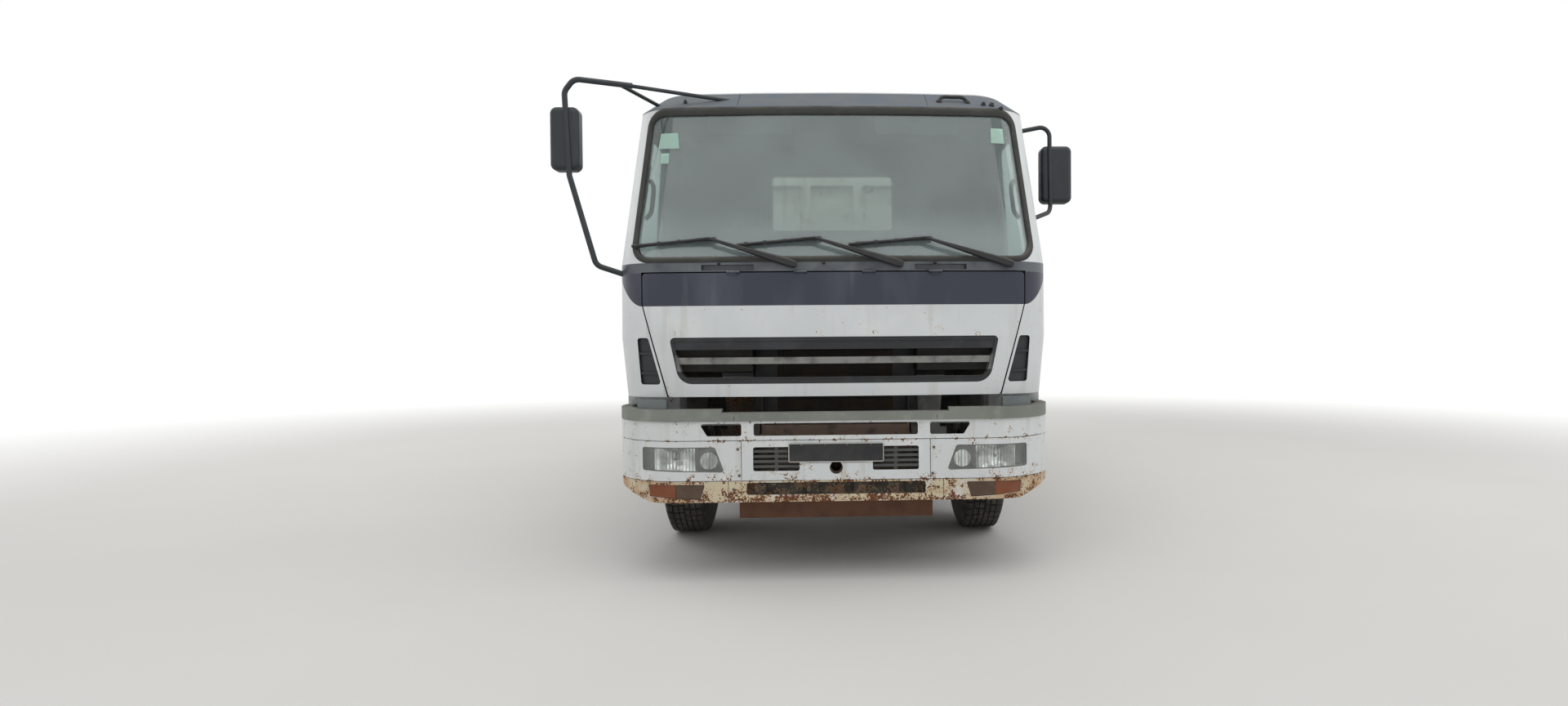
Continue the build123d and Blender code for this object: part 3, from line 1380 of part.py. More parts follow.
def make_guards():
    r0, r1 = guard_radius, guard_radius + guard_thick
    top0, top1 = cab_floor_z - guard_drop, cab_floor_z - guard_drop + guard_thick
    x0, x1 = guard_inner_x, cab_half_belt
    ring = turned([(0, r0), (0, r1), (x1 - x0, r1), (x1 - x0, r0)], x0, front_axle_at, axle_z)
    ring &= block(x0 - 1, x1 + 1, front_axle_at - r1 - 1, front_axle_at + r1 + 1,
                  axle_z + guard_skirt, top1)
    reach = sqrt(r1 ** 2 - (top1 - axle_z) ** 2)
    cap = block(x0, x1, front_axle_at - reach, front_axle_at + reach, top0, top1)
    arm_at = front_axle_at - guard_arm_ahead
    arm = block(rail_inner_x, x0 + 2, arm_at, arm_at + guard_arm_wide, top0, top1)
    post = block(rail_inner_x, rail_outer_x, arm_at, arm_at + guard_arm_wide, rail_top_z, top0 + 2)
    guard = fuse([ring, cap, arm, post])
    s0, s1 = bumper_rear_at + step_gap - 2, front_axle_at - step_ahead
    step = block(step_inner_x, step_outer_x, s0, s1, step_low_z, cab_skirt_z - step_gap)
    for z in step_tread_z:
        step -= block(step_inner_x + step_back, step_outer_x + 5, s0 + step_wall, s1 - step_wall,
                      z, z + step_rise)
    carrier = block(rail_outer_x + fit_gap, step_inner_x + 2, s1 - 112, s1 - 52,
                    rail_bottom_z + 50, rail_bottom_z + 90)
    save("front_guards", *both_sides(guard))
    save("cab_steps", *both_sides(fuse([step, carrier])))

    x0, x1 = rear_guard_inner_x, rear_guard_outer_x
    f = rear_axle_at[0] - tyre_radius - rear_guard_gap
    r = rear_axle_at[1] + tyre_radius + rear_guard_gap
    z0, z1, slope = rear_guard_z, rear_guard_z + guard_thick - 2, rear_guard_slope
    skin = guard_thick - 2
    plate = side_prism([(f, rear_guard_front_z), (f + skin, rear_guard_front_z),
                        (f + skin, z0 - slope), (f + slope, z0), (r - slope, z0),
                        (r - skin, z0 - slope), (r - skin, rear_guard_flap_z),
                        (r, rear_guard_flap_z), (r, z0 - slope + 10), (r - slope + 6, z1),
                        (f + slope - 6, z1), (f, z0 - slope + 10)], x0, x1)
    arms = [block(rail_outer_x + fit_gap, x0 + 2, s, s + 50, rear_guard_arm_z,
                  rear_guard_arm_z + 35) for s in (f - 19, r - 31)]
    plates = [block(x0, x0 + skin, s, s + 50, rear_guard_arm_z, rear_guard_arm_z + 60)
              for s in (f - 19, r - 31)]
    save("rear_guards", *both_sides(fuse([plate] + arms + plates)))

    front, rear = rail_rear_at - rear_bar_depth, rail_rear_at
    bar = block(-rear_bar_half, rear_bar_half, front, rear, rear_bar_low_z, rear_bar_high_z)
    posts = both_sides(block(rail_inner_x + 10, web_inner_x - 2, front, rear - 4,
                             rear_bar_high_z - 5, rail_bottom_z))
    save("rear_bar", fuse([bar] + posts))
    lamp = block(*tail_lamp_x, front + 5, rear - 5, rear_bar_high_z,
                 rear_bar_high_z + tail_lamp_height)
    save("tail_lamps", *both_sides(fillet(lamp.edges().filter_by(Axis.Y), 12)))


# Dump bed


def make_bed():
    rear = bed_rear_at
    wall = bed_inner_half + bed_plate
    floor = block(-wall, wall, bed_front_at, rear, floor_bottom_z, floor_top_z)
    side = block(bed_inner_half, wall, bed_front_at, rear, floor_bottom_z, bed_side_top_z)
    top = block(bed_inner_half, rib_outer_half + 7, bed_front_at, rear, bed_side_top_z - 80,
                bed_side_top_z)
    sole = block(bed_inner_half, rib_outer_half, bed_front_at, rear, floor_bottom_z,
                 floor_bottom_z + 90)
    pitch = (rear - bed_front_at - rib_length) / (rib_count - 1)
    ribs = [side_prism([(s, floor_bottom_z), (s + rib_length, floor_bottom_z),
                        (s + rib_length - 10, bed_side_top_z - 40), (s + 10, bed_side_top_z - 40)],
                       wall - 2, rib_outer_half)
            for s in (bed_front_at + i * pitch for i in range(rib_count))]
    half = [side, top, sole] + ribs
    # hinge ears of the gate stand on the rear posts
    ear = side_prism([(rear - 130, bed_side_top_z - 5), (rear, bed_side_top_z - 5),
                      (gate_hinge_at + 30, gate_hinge_z - 15), (gate_hinge_at + 30, gate_hinge_z + 35),
                      (gate_hinge_at - 30, gate_hinge_z + 35)], gate_half + 22, rib_outer_half)
    half.append(ear - rod_x(gate_half, rib_outer_half + 5, gate_hinge_at, gate_hinge_z,
                            gate_hinge_radius + pin_gap))
    head = block(-wall, wall, bed_front_at, bed_front_at + bed_plate, floor_bottom_z,
                 headboard_top_z)
    head_rail = block(-wall, wall, bed_front_at - 50, bed_front_at + 40, headboard_top_z - 70,
                      headboard_top_z)
    head_ribs = [block(x - 35, x + 35, bed_front_at - 50, bed_front_at + 2, floor_bottom_z,
                       headboard_top_z - 60) for a in head_rib_x for x in (-a, a)]
    corner = block(bed_inner_half - 40, wall, bed_front_at, bed_front_at + 320, bed_side_top_z,
                   headboard_top_z) & side_prism(
        [(bed_front_at, bed_side_top_z - 10), (bed_front_at + 320, bed_side_top_z - 10),
         (bed_front_at, headboard_top_z)], 0, wall)
    pieces = [floor, head, head_rail] + head_ribs
    for piece in half + [corner]:
        pieces += both_sides(piece)
    save("dump_bed", fuse(pieces))

    sills = both_sides(block(rail_inner_x, rail_outer_x, bed_front_at + 60, rear - 10,
                             sill_bottom_z, floor_bottom_z))
    bearers = [block(-bed_inner_half, bed_inner_half, s, s + bearer_length,
                     floor_bottom_z - bearer_height,
                     floor_bottom_z) for s in bearer_at]
    rear_beam = block(-bed_inner_half, bed_inner_half, bed_hinge_at - 60, bed_hinge_at + 60,
                      sill_bottom_z + 20, floor_bottom_z)
    lug = block(lug_x0, lug_x1, bed_hinge_at - 55, bed_hinge_at + 55, bed_hinge_z,
                sill_bottom_z + 60)
    lug += rod_x(lug_x0, lug_x1, bed_hinge_at, bed_hinge_z, hinge_boss_radius)
    lug -= rod_x(lug_x0 - 1, lug_x1 + 1, bed_hinge_at, bed_hinge_z, hinge_pin_radius + pin_gap)
    ear = block(hoist_ear_x, hoist_ear_x + hoist_ear_thick, hoist_eye_at - 70, hoist_eye_at + 70,
                hoist_eye_z - 50, floor_bottom_z)
    cross = block(-rail_inner_x - 5, rail_inner_x + 5, hoist_eye_at - 70, hoist_eye_at + 70,
                  floor_bottom_z - 20, floor_bottom_z)
    save("bed_sills", fuse(sills + bearers + [rear_beam, cross] + both_sides(lug) + both_sides(ear)))


def make_gate():
    s0 = bed_rear_at + gate_gap
    s1 = s0 + gate_plate
    back = overall_length
    plate = block(-gate_half - 60, gate_half + 60, s0, s1, gate_low_z, gate_top_z)
    bars = [block(-gate_half - 60, gate_half + 60, s1 - 1, back - 15, z, z + 90)
            for z in (gate_low_z, gate_top_z - 90)]
    posts = [block(x - 40, x + 40, s1 - 1, back, gate_low_z, gate_top_z)
             for a in gate_post_x for x in (-a, a)]
    arm = side_prism([(s0 + 4, gate_top_z - 120), (back - 6, gate_top_z - 120),
                      (gate_hinge_at + 36, gate_hinge_z + 20), (gate_hinge_at - 25, gate_hinge_z + 30)],
                     gate_half - 20, gate_half + 14)
    pin = rod_x(gate_half - 20, rib_outer_half + 4, gate_hinge_at, gate_hinge_z, gate_hinge_radius)
    ends = [q for piece in (arm, pin) for q in both_sides(piece)]
    save("tailgate", fuse([plate] + bars + posts + ends))


def make_hoist():
    base = Vector(0, at(hoist_base_at), hoist_base_z)
    eye = Vector(0, at(hoist_eye_at), hoist_eye_z)
    line = Plane(origin=base, z_dir=eye - base, x_dir=(1, 0, 0))
    length = (eye - base).length
    up = (Align.CENTER, Align.CENTER, Align.MIN)
    barrel = line * (Pos(0, 0, 80) * Cylinder(barrel_radius, length - 250, align=up))
    barrel += line * (Pos(0, 0, 40) * Box(2 * eye_half, 110, 90))
    barrel += line * (Rot(0, 90, 0) * Cylinder(eye_radius, 2 * eye_half))
    barrel -= line * (Rot(0, 90, 0) * Cylinder(hoist_pin_radius + pin_gap, 400))
    bore = rod_radius + pin_gap
    barrel -= line * (Pos(0, 0, 150) * Cylinder(bore, length, align=up))
    save("hoist_barrel", barrel)
    rod = line * (Pos(0, 0, 165) * Cylinder(rod_radius, length - 165 - 40, align=up))
    rod += line * (Pos(0, 0, length) * Rot(0, 90, 0) * Cylinder(eye_radius, 2 * eye_half))
    rod -= line * (Pos(0, 0, length) * Rot(0, 90, 0) * Cylinder(hoist_pin_radius + pin_gap, 400))
    save("hoist_rod", rod)


os.makedirs("parts", exist_ok=True)
cab_outer = make_cab()
make_lid()
make_wipers(cab_outer)
make_inside()
make_mirrors(cab_outer)
make_bumper()
make_frame()
make_subframe()
make_springs()
make_front_axle()
make_knuckle()
make_rear_axles()
make_front_wheel()
make_rear_wheels()
make_power_train()
make_guards()
make_bed()
make_gate()
make_hoist()
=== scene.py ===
"""Looks of a three-axle dump truck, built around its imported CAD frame."""

import json
import math

import bmesh
import bpy
from bpy.props import FloatProperty, FloatVectorProperty, IntProperty, PointerProperty
from mathutils import Matrix, Vector
from mathutils.bvhtree import BVHTree
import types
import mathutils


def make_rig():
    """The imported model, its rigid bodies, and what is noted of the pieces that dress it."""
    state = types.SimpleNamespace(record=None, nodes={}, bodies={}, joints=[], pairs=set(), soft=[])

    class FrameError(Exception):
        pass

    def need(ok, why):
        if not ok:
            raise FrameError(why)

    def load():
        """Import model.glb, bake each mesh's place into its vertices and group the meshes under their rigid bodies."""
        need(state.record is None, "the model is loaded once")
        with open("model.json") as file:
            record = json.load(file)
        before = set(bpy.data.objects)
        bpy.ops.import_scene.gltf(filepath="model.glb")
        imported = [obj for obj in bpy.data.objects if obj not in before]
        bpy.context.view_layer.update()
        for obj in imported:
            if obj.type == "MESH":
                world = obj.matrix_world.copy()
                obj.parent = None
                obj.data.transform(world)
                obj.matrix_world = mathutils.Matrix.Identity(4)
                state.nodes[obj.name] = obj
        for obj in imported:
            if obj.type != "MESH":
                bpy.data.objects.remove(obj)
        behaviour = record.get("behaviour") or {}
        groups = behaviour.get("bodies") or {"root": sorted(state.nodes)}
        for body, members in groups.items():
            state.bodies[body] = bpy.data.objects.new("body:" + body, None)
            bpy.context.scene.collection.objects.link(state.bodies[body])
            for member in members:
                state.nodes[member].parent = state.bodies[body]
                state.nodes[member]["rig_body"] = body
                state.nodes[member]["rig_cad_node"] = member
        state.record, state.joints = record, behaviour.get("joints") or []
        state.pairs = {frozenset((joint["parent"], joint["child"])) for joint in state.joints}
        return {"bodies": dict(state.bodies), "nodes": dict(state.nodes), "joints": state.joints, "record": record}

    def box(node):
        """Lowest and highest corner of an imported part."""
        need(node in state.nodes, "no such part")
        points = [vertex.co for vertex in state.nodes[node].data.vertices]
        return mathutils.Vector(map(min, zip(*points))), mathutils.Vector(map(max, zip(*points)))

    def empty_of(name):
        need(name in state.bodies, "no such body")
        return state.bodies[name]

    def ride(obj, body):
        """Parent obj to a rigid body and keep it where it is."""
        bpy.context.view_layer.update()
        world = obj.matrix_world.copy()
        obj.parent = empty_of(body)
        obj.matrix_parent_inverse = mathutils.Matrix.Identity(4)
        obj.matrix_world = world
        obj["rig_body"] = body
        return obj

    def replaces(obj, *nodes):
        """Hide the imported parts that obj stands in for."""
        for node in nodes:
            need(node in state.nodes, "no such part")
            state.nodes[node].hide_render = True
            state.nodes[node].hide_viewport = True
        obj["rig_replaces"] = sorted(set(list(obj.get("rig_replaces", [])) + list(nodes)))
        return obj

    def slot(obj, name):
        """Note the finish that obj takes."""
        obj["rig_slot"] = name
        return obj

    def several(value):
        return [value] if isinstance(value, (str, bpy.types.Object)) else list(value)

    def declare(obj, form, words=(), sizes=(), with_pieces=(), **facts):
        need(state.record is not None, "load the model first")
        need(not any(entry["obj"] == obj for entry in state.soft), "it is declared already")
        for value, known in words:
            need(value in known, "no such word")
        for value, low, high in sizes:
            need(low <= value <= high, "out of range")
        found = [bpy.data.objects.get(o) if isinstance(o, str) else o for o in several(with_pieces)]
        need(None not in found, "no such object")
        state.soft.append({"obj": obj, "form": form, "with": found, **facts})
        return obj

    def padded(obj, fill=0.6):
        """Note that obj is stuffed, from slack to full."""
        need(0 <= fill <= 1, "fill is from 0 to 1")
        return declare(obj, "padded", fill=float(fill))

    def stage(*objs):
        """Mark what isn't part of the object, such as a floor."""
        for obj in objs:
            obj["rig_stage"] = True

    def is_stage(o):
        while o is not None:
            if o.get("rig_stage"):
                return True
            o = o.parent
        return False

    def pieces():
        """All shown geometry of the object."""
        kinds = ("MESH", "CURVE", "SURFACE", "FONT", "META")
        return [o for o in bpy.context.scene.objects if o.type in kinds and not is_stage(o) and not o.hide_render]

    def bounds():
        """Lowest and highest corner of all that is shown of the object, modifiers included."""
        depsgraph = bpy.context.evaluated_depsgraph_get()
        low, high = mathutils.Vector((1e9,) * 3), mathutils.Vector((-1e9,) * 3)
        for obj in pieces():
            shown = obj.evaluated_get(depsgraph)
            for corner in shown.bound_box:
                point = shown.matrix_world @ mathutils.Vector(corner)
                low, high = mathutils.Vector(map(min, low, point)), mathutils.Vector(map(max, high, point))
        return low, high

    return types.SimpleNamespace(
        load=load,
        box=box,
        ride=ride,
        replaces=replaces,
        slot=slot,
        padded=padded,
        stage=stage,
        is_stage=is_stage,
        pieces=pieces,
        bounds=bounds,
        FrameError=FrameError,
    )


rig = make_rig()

bl_info = {
    "name": "Dump truck dresser",
    "version": (1, 0, 0),
    "blender": (4, 5, 0),
    "location": "View3D > Sidebar > Dump truck",
    "description": "Builds the looks of a three-axle dump truck on its packed CAD frame",
    "category": "Add Mesh",
}

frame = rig.load()
NODES = frame["nodes"]
CAD_LOW, CAD_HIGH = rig.bounds()

# Places are millimetres across, behind the bumper's face (a station) and above the ground.
MM = 0.001
PAD_PROUD = 12
BUMPER_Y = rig.box("bumper_trim")[0].y + PAD_PROUD * MM
SIZE_FILE = "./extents.json"


def srgb(red, green, blue):
    """A colour as the renderer wants it, from 0 to 255 a channel."""
    def linear(value):
        value /= 255
        return value / 12.92 if value <= 0.04045 else ((value + 0.055) / 1.055) ** 2.4
    return (linear(red), linear(green), linear(blue))


WHITE_PAINT = srgb(212, 216, 217)
NAVY = srgb(40, 46, 62)
DUST = srgb(158, 144, 122)
GREY_DUST = srgb(118, 115, 106)
RUST = srgb(122, 74, 44)
DARK_RUST = srgb(66, 44, 34)
STAIN = srgb(190, 158, 116)


def spot(x, station, z):
    """The point at a place in millimetres."""
    return Vector((x * MM, BUMPER_Y + station * MM, z * MM))


CAB_MIDDLE = spot(0, 1150, 1300)


# Finishes


class Finish:
    """A material whose colour, roughness and relief come from noise over the piece's own place."""

    def __init__(self, name, colour, roughness=0.5, metallic=0.0):
        self.material = bpy.data.materials.new(name)
        self.material.use_nodes = True
        self.tree = self.material.node_tree
        self.shader = self.tree.nodes["Principled BSDF"]
        self.shader.inputs["Roughness"].default_value = roughness
        self.shader.inputs["Metallic"].default_value = metallic
        self.place = self.tree.nodes.new("ShaderNodeTexCoord").outputs
        self.x, self.y, self.z = self.node("SeparateXYZ", {"Vector": self.place["Object"]})
        self.facing = self.node("SeparateXYZ", {"Vector": self.place["Normal"]})
        self.side = self.maths("ABSOLUTE", self.x)
        self.paint = (*colour, 1)

    def put(self, socket, value):
        """Links a source to a socket, or sets its constant."""
        if isinstance(value, bpy.types.NodeSocket):
            self.tree.links.new(value, socket)
        else:
            socket.default_value = value

    def node(self, kind, inputs, **settings):
        """The outputs of a new node with these inputs and settings."""
        node = self.tree.nodes.new("ShaderNode" + kind)
        for key, value in settings.items():
            setattr(node, key, value)
        for key, value in inputs.items():
            self.put(node.inputs[key], value)
        return node.outputs

    def noise(self, scale, detail=4, stretch=(1, 1, 1)):
        """Noise with this many waves a metre, drawn out along an axis whose stretch is under 1."""
        source = self.place["Object"]
        if stretch != (1, 1, 1):
            source = self.node("Mapping", {"Vector": source, "Scale": stretch})["Vector"]
        return self.node("TexNoise", {"Vector": source, "Scale": scale, "Detail": detail})["Fac"]

    def waves(self, scale, direction):
        """Even ridges along one axis."""
        return self.node("TexWave", {"Vector": self.place["Object"], "Scale": scale},
                         bands_direction=direction)["Fac"]

    def maths(self, operation, first, second=0.0):
        """What an operation makes of two values."""
        return self.node("Math", {0: first, 1: second}, operation=operation)[0]

    def step(self, value, low, high, top=1.0):
        """Rises smoothly from 0 where value is low to top where it is high."""
        return self.node("MapRange", {"Value": value, "From Min": low, "From Max": high,
                                      "To Max": top}, interpolation_type="SMOOTHSTEP")["Result"]

    def cloud(self, scale, detail, low, high, top=1.0, stretch=(1, 1, 1)):
        """Patches: 0 where the noise is low, top where it is high."""
        return self.step(self.noise(scale, detail, stretch), low, high, top)

    def joined(self, operation, made, *others):
        """One value made from several, two at a time."""
        for value in others:
            made = self.maths(operation, made, value)
        return made

    def times(self, *values):
        """The product of the values."""
        return self.joined("MULTIPLY", *values)

    def plus(self, *values):
        """The sum of the values."""
        return self.joined("ADD", *values)

    def rest(self, share):
        """What a share leaves of 1."""
        return self.maths("SUBTRACT", 1.0, share)

    def outward(self):
        """1 where a face of the cab looks out, 0 where it looks into the room."""
        away = self.node("VectorMath", {0: self.place["Object"], 1: CAB_MIDDLE},
                         operation="SUBTRACT")["Vector"]
        facing = self.node("VectorMath", {0: away, 1: self.place["Normal"]},
                           operation="DOT_PRODUCT")["Value"]
        return self.step(facing, -0.04, 0.0)

    def over(self, colour, *shares):
        """Lays a colour over what is there, by the product of the shares."""
        share = self.times(*shares)
        self.paint = self.node("Mix", {"Factor": share, 6: self.paint, 7: (*colour, 1)},
                               data_type="RGBA")[2]
        return share

    def rough(self, share, value):
        """Changes the roughness to value where share is 1."""
        socket = self.shader.inputs["Roughness"]
        source = socket.links[0].from_socket if socket.links else socket.default_value
        self.put(socket, self.node("Mix", {"Factor": share, 2: source, 3: value})[0])

    def relief(self, height, depth):
        """Raises the surface by depth millimetres where height is 1."""
        socket = self.shader.inputs["Normal"]
        inputs = {"Height": height, "Distance": depth * MM}
        if socket.links:
            inputs["Normal"] = socket.links[0].from_socket
        self.put(socket, self.node("Bump", inputs)["Normal"])

    def mottle(self, scale, low, high, amount):
        """Cloudy lighter and darker areas."""
        self.over(low, self.cloud(scale, 5, 0.35, 0.68), amount)
        self.over(high, self.cloud(scale * 2.7, 3, 0.5, 0.75), amount)

    def settle(self, colour, amount, grain=7):
        """Dust lies on what looks up, thinner where it was rubbed off."""
        share = self.over(colour, self.step(self.facing["Z"], 0.15, 0.95),
                          self.cloud(grain, 6, 0.25, 0.62), amount)
        self.rough(share, 0.95)

    def splash(self, colour, top, amount):
        """Mud and road dust, thicker towards the ground and gone at this height in metres."""
        share = self.over(colour, self.step(self.z, top, top * 0.2), self.cloud(9, 7, 0.3, 0.7),
                          amount)
        self.rough(share, 0.95)

    def streaks(self, colour, amount):
        """Rain has drawn dirt down the upright faces."""
        self.over(colour, self.cloud(16, 5, 0.52, 0.74, stretch=(1, 1, 0.09)), amount)

    def rusting(self, start, amount=1.0, scale=13, near=0.0, depth=0.3):
        """Rust in coarse and fine spots with a thin stained edge. A lower start gives more, and
        near, a share from 0, brings it sooner."""
        spots = self.plus(self.times(self.noise(scale, 6), 0.5),
                          self.times(self.noise(scale * 6, 6), 0.5), near)
        self.over(STAIN, self.step(spots, start - 0.05, start, amount * 0.55))
        core = self.over(RUST, self.step(spots, start, start + 0.02, amount))
        self.over(DARK_RUST, core, self.cloud(scale * 9, 4, 0.45, 0.6))
        self.rough(core, 0.92)
        self.relief(core, -depth)

    def done(self):
        """The finished material."""
        self.put(self.shader.inputs["Base Color"], self.paint)
        return self.material


def shade(colour, factor, lift=0.0):
    """A lighter or darker colour."""
    return tuple(min(1.0, c * factor + lift) for c in colour)


def white_coat(name, colour, band=False, lining=False):
    """Faded white paint. The cab's front carries a dark band, its room a plain lining."""
    f = Finish(name, colour, 0.42)
    f.mottle(1.7, srgb(196, 200, 201), srgb(220, 223, 222), 0.5)
    f.streaks(srgb(160, 150, 132), 0.22)
    f.settle(DUST, 0.35, 2.5)
    f.splash(srgb(160, 148, 128), 1.25, 0.22)
    f.rusting(0.655, 0.8, 17)
    if band:
        dark_band(f)
    if lining:
        inner = f.over(srgb(70, 69, 65), f.rest(f.outward()))
        f.over(srgb(52, 51, 48), inner, f.cloud(4, 5, 0.35, 0.7), 0.5)
        f.rough(inner, 0.9)
    f.relief(f.noise(420, 2), 0.06)
    return f


def dark_band(f):
    """The band's lower edge is level across the lid and climbs at the cab's corners."""
    climb = f.maths("MAXIMUM", f.maths("SUBTRACT", f.side, 1.07), 0.0)
    climb = f.times(f.maths("POWER", f.maths("DIVIDE", climb, 0.16), 2.0), 0.18)
    inside = f.over(NAVY, f.step(f.maths("SUBTRACT", f.z, climb), 1.5175, 1.5205),
                    f.step(f.z, 1.7605, 1.7585), f.step(f.y, BUMPER_Y + 0.31, BUMPER_Y + 0.305))
    # painted highlights in pale bluish patches, chalky streaks, dust on top, and the paler edge under the windscreen
    f.over(srgb(78, 84, 96), inside, f.cloud(5, 6, 0.42, 0.72, 0.45, (1, 1, 0.3)))
    f.over(srgb(112, 112, 112), inside, f.cloud(7, 4, 0.58, 0.7, 0.25, (1, 1, 0.07)))
    f.over(GREY_DUST, inside, f.step(f.facing["Z"], 0.4, 0.95, 0.45))
    f.over(srgb(104, 110, 112), inside, f.step(f.z, 1.701, 1.706), f.cloud(6, 6, 0.2, 0.7, 0.75))
    f.rough(inside, 0.34)


def cab_coat(name, colour):
    """The cab's white paint, with the matt panel over the windscreen, which carries dust."""
    f = white_coat(name, colour, True, True)
    # the roof's edge above the panel stays white
    strip = f.over(srgb(98, 106, 115), f.step(f.facing["Y"], -0.2, -0.32), f.outward(),
                   f.step(f.z, 2.69, 2.7), f.step(f.z, 2.838, 2.828))
    f.over(srgb(116, 116, 112), strip, f.cloud(8, 6, 0.35, 0.65, 0.45))
    f.rough(strip, 0.8)
    return f.done()


def panel_coat(name, colour, band=True, lining=False):
    """The cab's white paint on a door or the front lid."""
    return white_coat(name, colour, band, lining).done()


def bumper_coat(name, colour):
    """White paint that flakes off along the seams and off most of the lower edge."""
    f = Finish(name, colour, 0.45)
    f.mottle(2.1, srgb(208, 211, 210), srgb(229, 231, 229), 0.5)
    f.streaks(srgb(150, 132, 104), 0.28)
    valance = f.step(f.z, 0.56, 0.553)
    f.over(srgb(202, 186, 152), valance, f.cloud(7, 8, 0.25, 0.5, 0.85))
    f.over(srgb(176, 140, 92), valance, f.cloud(5, 7, 0.5, 0.7, 0.6, (1, 1, 3)))
    f.over(srgb(178, 134, 84), valance, f.step(f.side, 0.55, 1.24), f.cloud(8, 7, 0.3, 0.55, 0.85))
    f.settle(DUST, 0.45)
    # rust comes sooner low down, at the lower edge, at its fold and along the upper seam
    near = f.plus(f.step(f.z, 0.64, 0.5, 0.075), f.step(f.z, 0.5, 0.45, 0.05),
                  f.times(f.step(f.z, 0.535, 0.55), f.step(f.z, 0.566, 0.556, 0.045)),
                  f.step(f.maths("ABSOLUTE", f.maths("SUBTRACT", f.z, 0.779)), 0.014, 0.001, 0.075))
    f.rusting(0.625, 1.0, 19, near, 0.5)
    f.relief(f.noise(380, 2), 0.06)
    return f.done()


def frame_coat(name, colour):
    """The frame's dark paint, with red dust on the low beam at its front and painted shade behind the bumper."""
    f = steel_coat(name, colour, 0.62, 0.55)
    beam = f.over(srgb(96, 66, 50), f.step(f.z, 0.45, 0.44),
                  f.step(f.y, BUMPER_Y + 0.24, BUMPER_Y + 0.2))
    f.over(srgb(72, 46, 34), beam, f.cloud(9, 6, 0.4, 0.7, 0.6))
    # painted shade: the frame above the low beam, just behind the bumper, is darkened
    painted_shade = f.over(srgb(34, 29, 27), f.step(f.z, 0.45, 0.46),
                 f.step(f.y, BUMPER_Y + 0.4, BUMPER_Y + 0.3), 0.8)
    # a lighter brown over the painted shade where the bumper's slots show it
    f.over(srgb(142, 120, 104), painted_shade, f.step(f.z, 0.9, 0.88), f.cloud(11, 6, 0.25, 0.6))
    f.rough(beam, 0.95)
    return f.done()


def bed_coat(name, colour):
    """Worn pale paint outside, scoured and rusty steel inside the load space."""
    f = Finish(name, colour, 0.6)
    f.mottle(1.3, srgb(178, 178, 168), srgb(214, 212, 202), 0.6)
    f.streaks(srgb(134, 104, 76), 0.45)
    headboard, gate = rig.box("dump_bed")[0].y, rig.box("tailgate")[0].y
    inside = f.over(srgb(116, 98, 80), f.step(f.side, 1.168, 1.163),
                    f.step(f.y, headboard + 0.054, headboard + 0.06),
                    f.step(f.y, gate + 0.008, gate + 0.006),
                    f.step(f.z, 1.352, 1.356), f.step(f.z, 2.42, 2.36))
    f.over(RUST, inside, f.cloud(3, 7, 0.4, 0.62, 0.7, (1, 0.25, 1)))
    f.over(srgb(146, 138, 128), inside, f.cloud(5, 8, 0.5, 0.7, 0.6, (1, 0.2, 1)))
    f.splash(DUST, 2.2, 0.35)
    f.rusting(0.6, 1.0, 9)
    f.settle(DUST, 0.7, 4)
    f.relief(f.noise(90, 5), 0.5)
    return f.done()


def steel_coat(name, colour, rust=0.62, dust=0.6, roughness=0.6, metallic=0.0):
    """Painted or bare steel of the chassis, with dust on top and splashes from below."""
    f = Finish(name, colour, roughness, metallic)
    f.mottle(4, shade(colour, 0.6), shade(colour, 1.5, 0.015), 0.6)
    f.rusting(rust, 0.85, 11)
    f.splash(GREY_DUST, 1.2, 0.4)
    f.settle(DUST, dust)
    f.relief(f.noise(160, 4), 0.25)
    return f


def steel(name, *look):
    """The plain steel finish."""
    return steel_coat(name, *look).done()


def plastic_coat(name, colour, dust=0.6, roughness=0.6, grain=0.12):
    """Moulded plastic with a fine grain, bleached in patches."""
    f = Finish(name, colour, roughness)
    f.mottle(3, shade(colour, 0.75), shade(colour, 1.35, 0.015), 0.55)
    f.settle(GREY_DUST, dust)
    f.splash(GREY_DUST, 0.9, 0.5)
    f.relief(f.noise(650, 3), grain)
    return f


def plastic(name, *look):
    """The plain plastic finish."""
    return plastic_coat(name, *look).done()


def grille_coat(name, colour):
    """Dark plastic whose bars, between two heights, are paler in patches than the frame around them."""
    f = plastic_coat(name, colour, 0.5, 0.65)
    # the bars' band, between two heights and inside the frame's ends, is paler in patches
    f.over(srgb(136, 136, 132), f.step(f.side, 0.9, 0.86), f.step(f.z, 1.15, 1.16),
           f.step(f.z, 1.25, 1.24), f.cloud(14, 5, 0.1, 0.6, 0.9))
    return f.done()


def trim_coat(name, colour):
    """Bleached plastic of the bumper's pad, and the darker louvres beside the plate."""
    f = plastic_coat(name, colour, 1.0, 0.75, 0.3)
    f.over(srgb(66, 68, 68), f.step(f.z, 0.85, 0.83, 0.85))
    return f.done()


def glazing(name, tint, film):
    """Glass whose outer face carries a film of dust, thin behind the front pillars. The film is thicker low on the
    glass, a painted reflection of the dashboard.
    """
    f = Finish(name, tint, 0.05)
    outer = f.outward()
    rear = f.step(f.y, BUMPER_Y + 0.5, BUMPER_Y + 0.53)
    f.over(srgb(232, 238, 234), f.rest(f.times(outer, f.rest(rear))))
    # the film is thicker low on the glass: a painted reflection of the dashboard, over patchy dust
    dust_and_reflection = f.plus(f.cloud(3.2, 6, 0.3, 0.75, 0.06), f.step(f.z, 2.1, 1.82, 0.17),
                   f.times(f.rest(rear), 0.06), 0.02)
    share = f.over(srgb(*film), dust_and_reflection, outer)
    f.put(f.shader.inputs["Transmission Weight"], f.rest(share))
    f.shader.inputs["IOR"].default_value = 1.45
    return f.done()


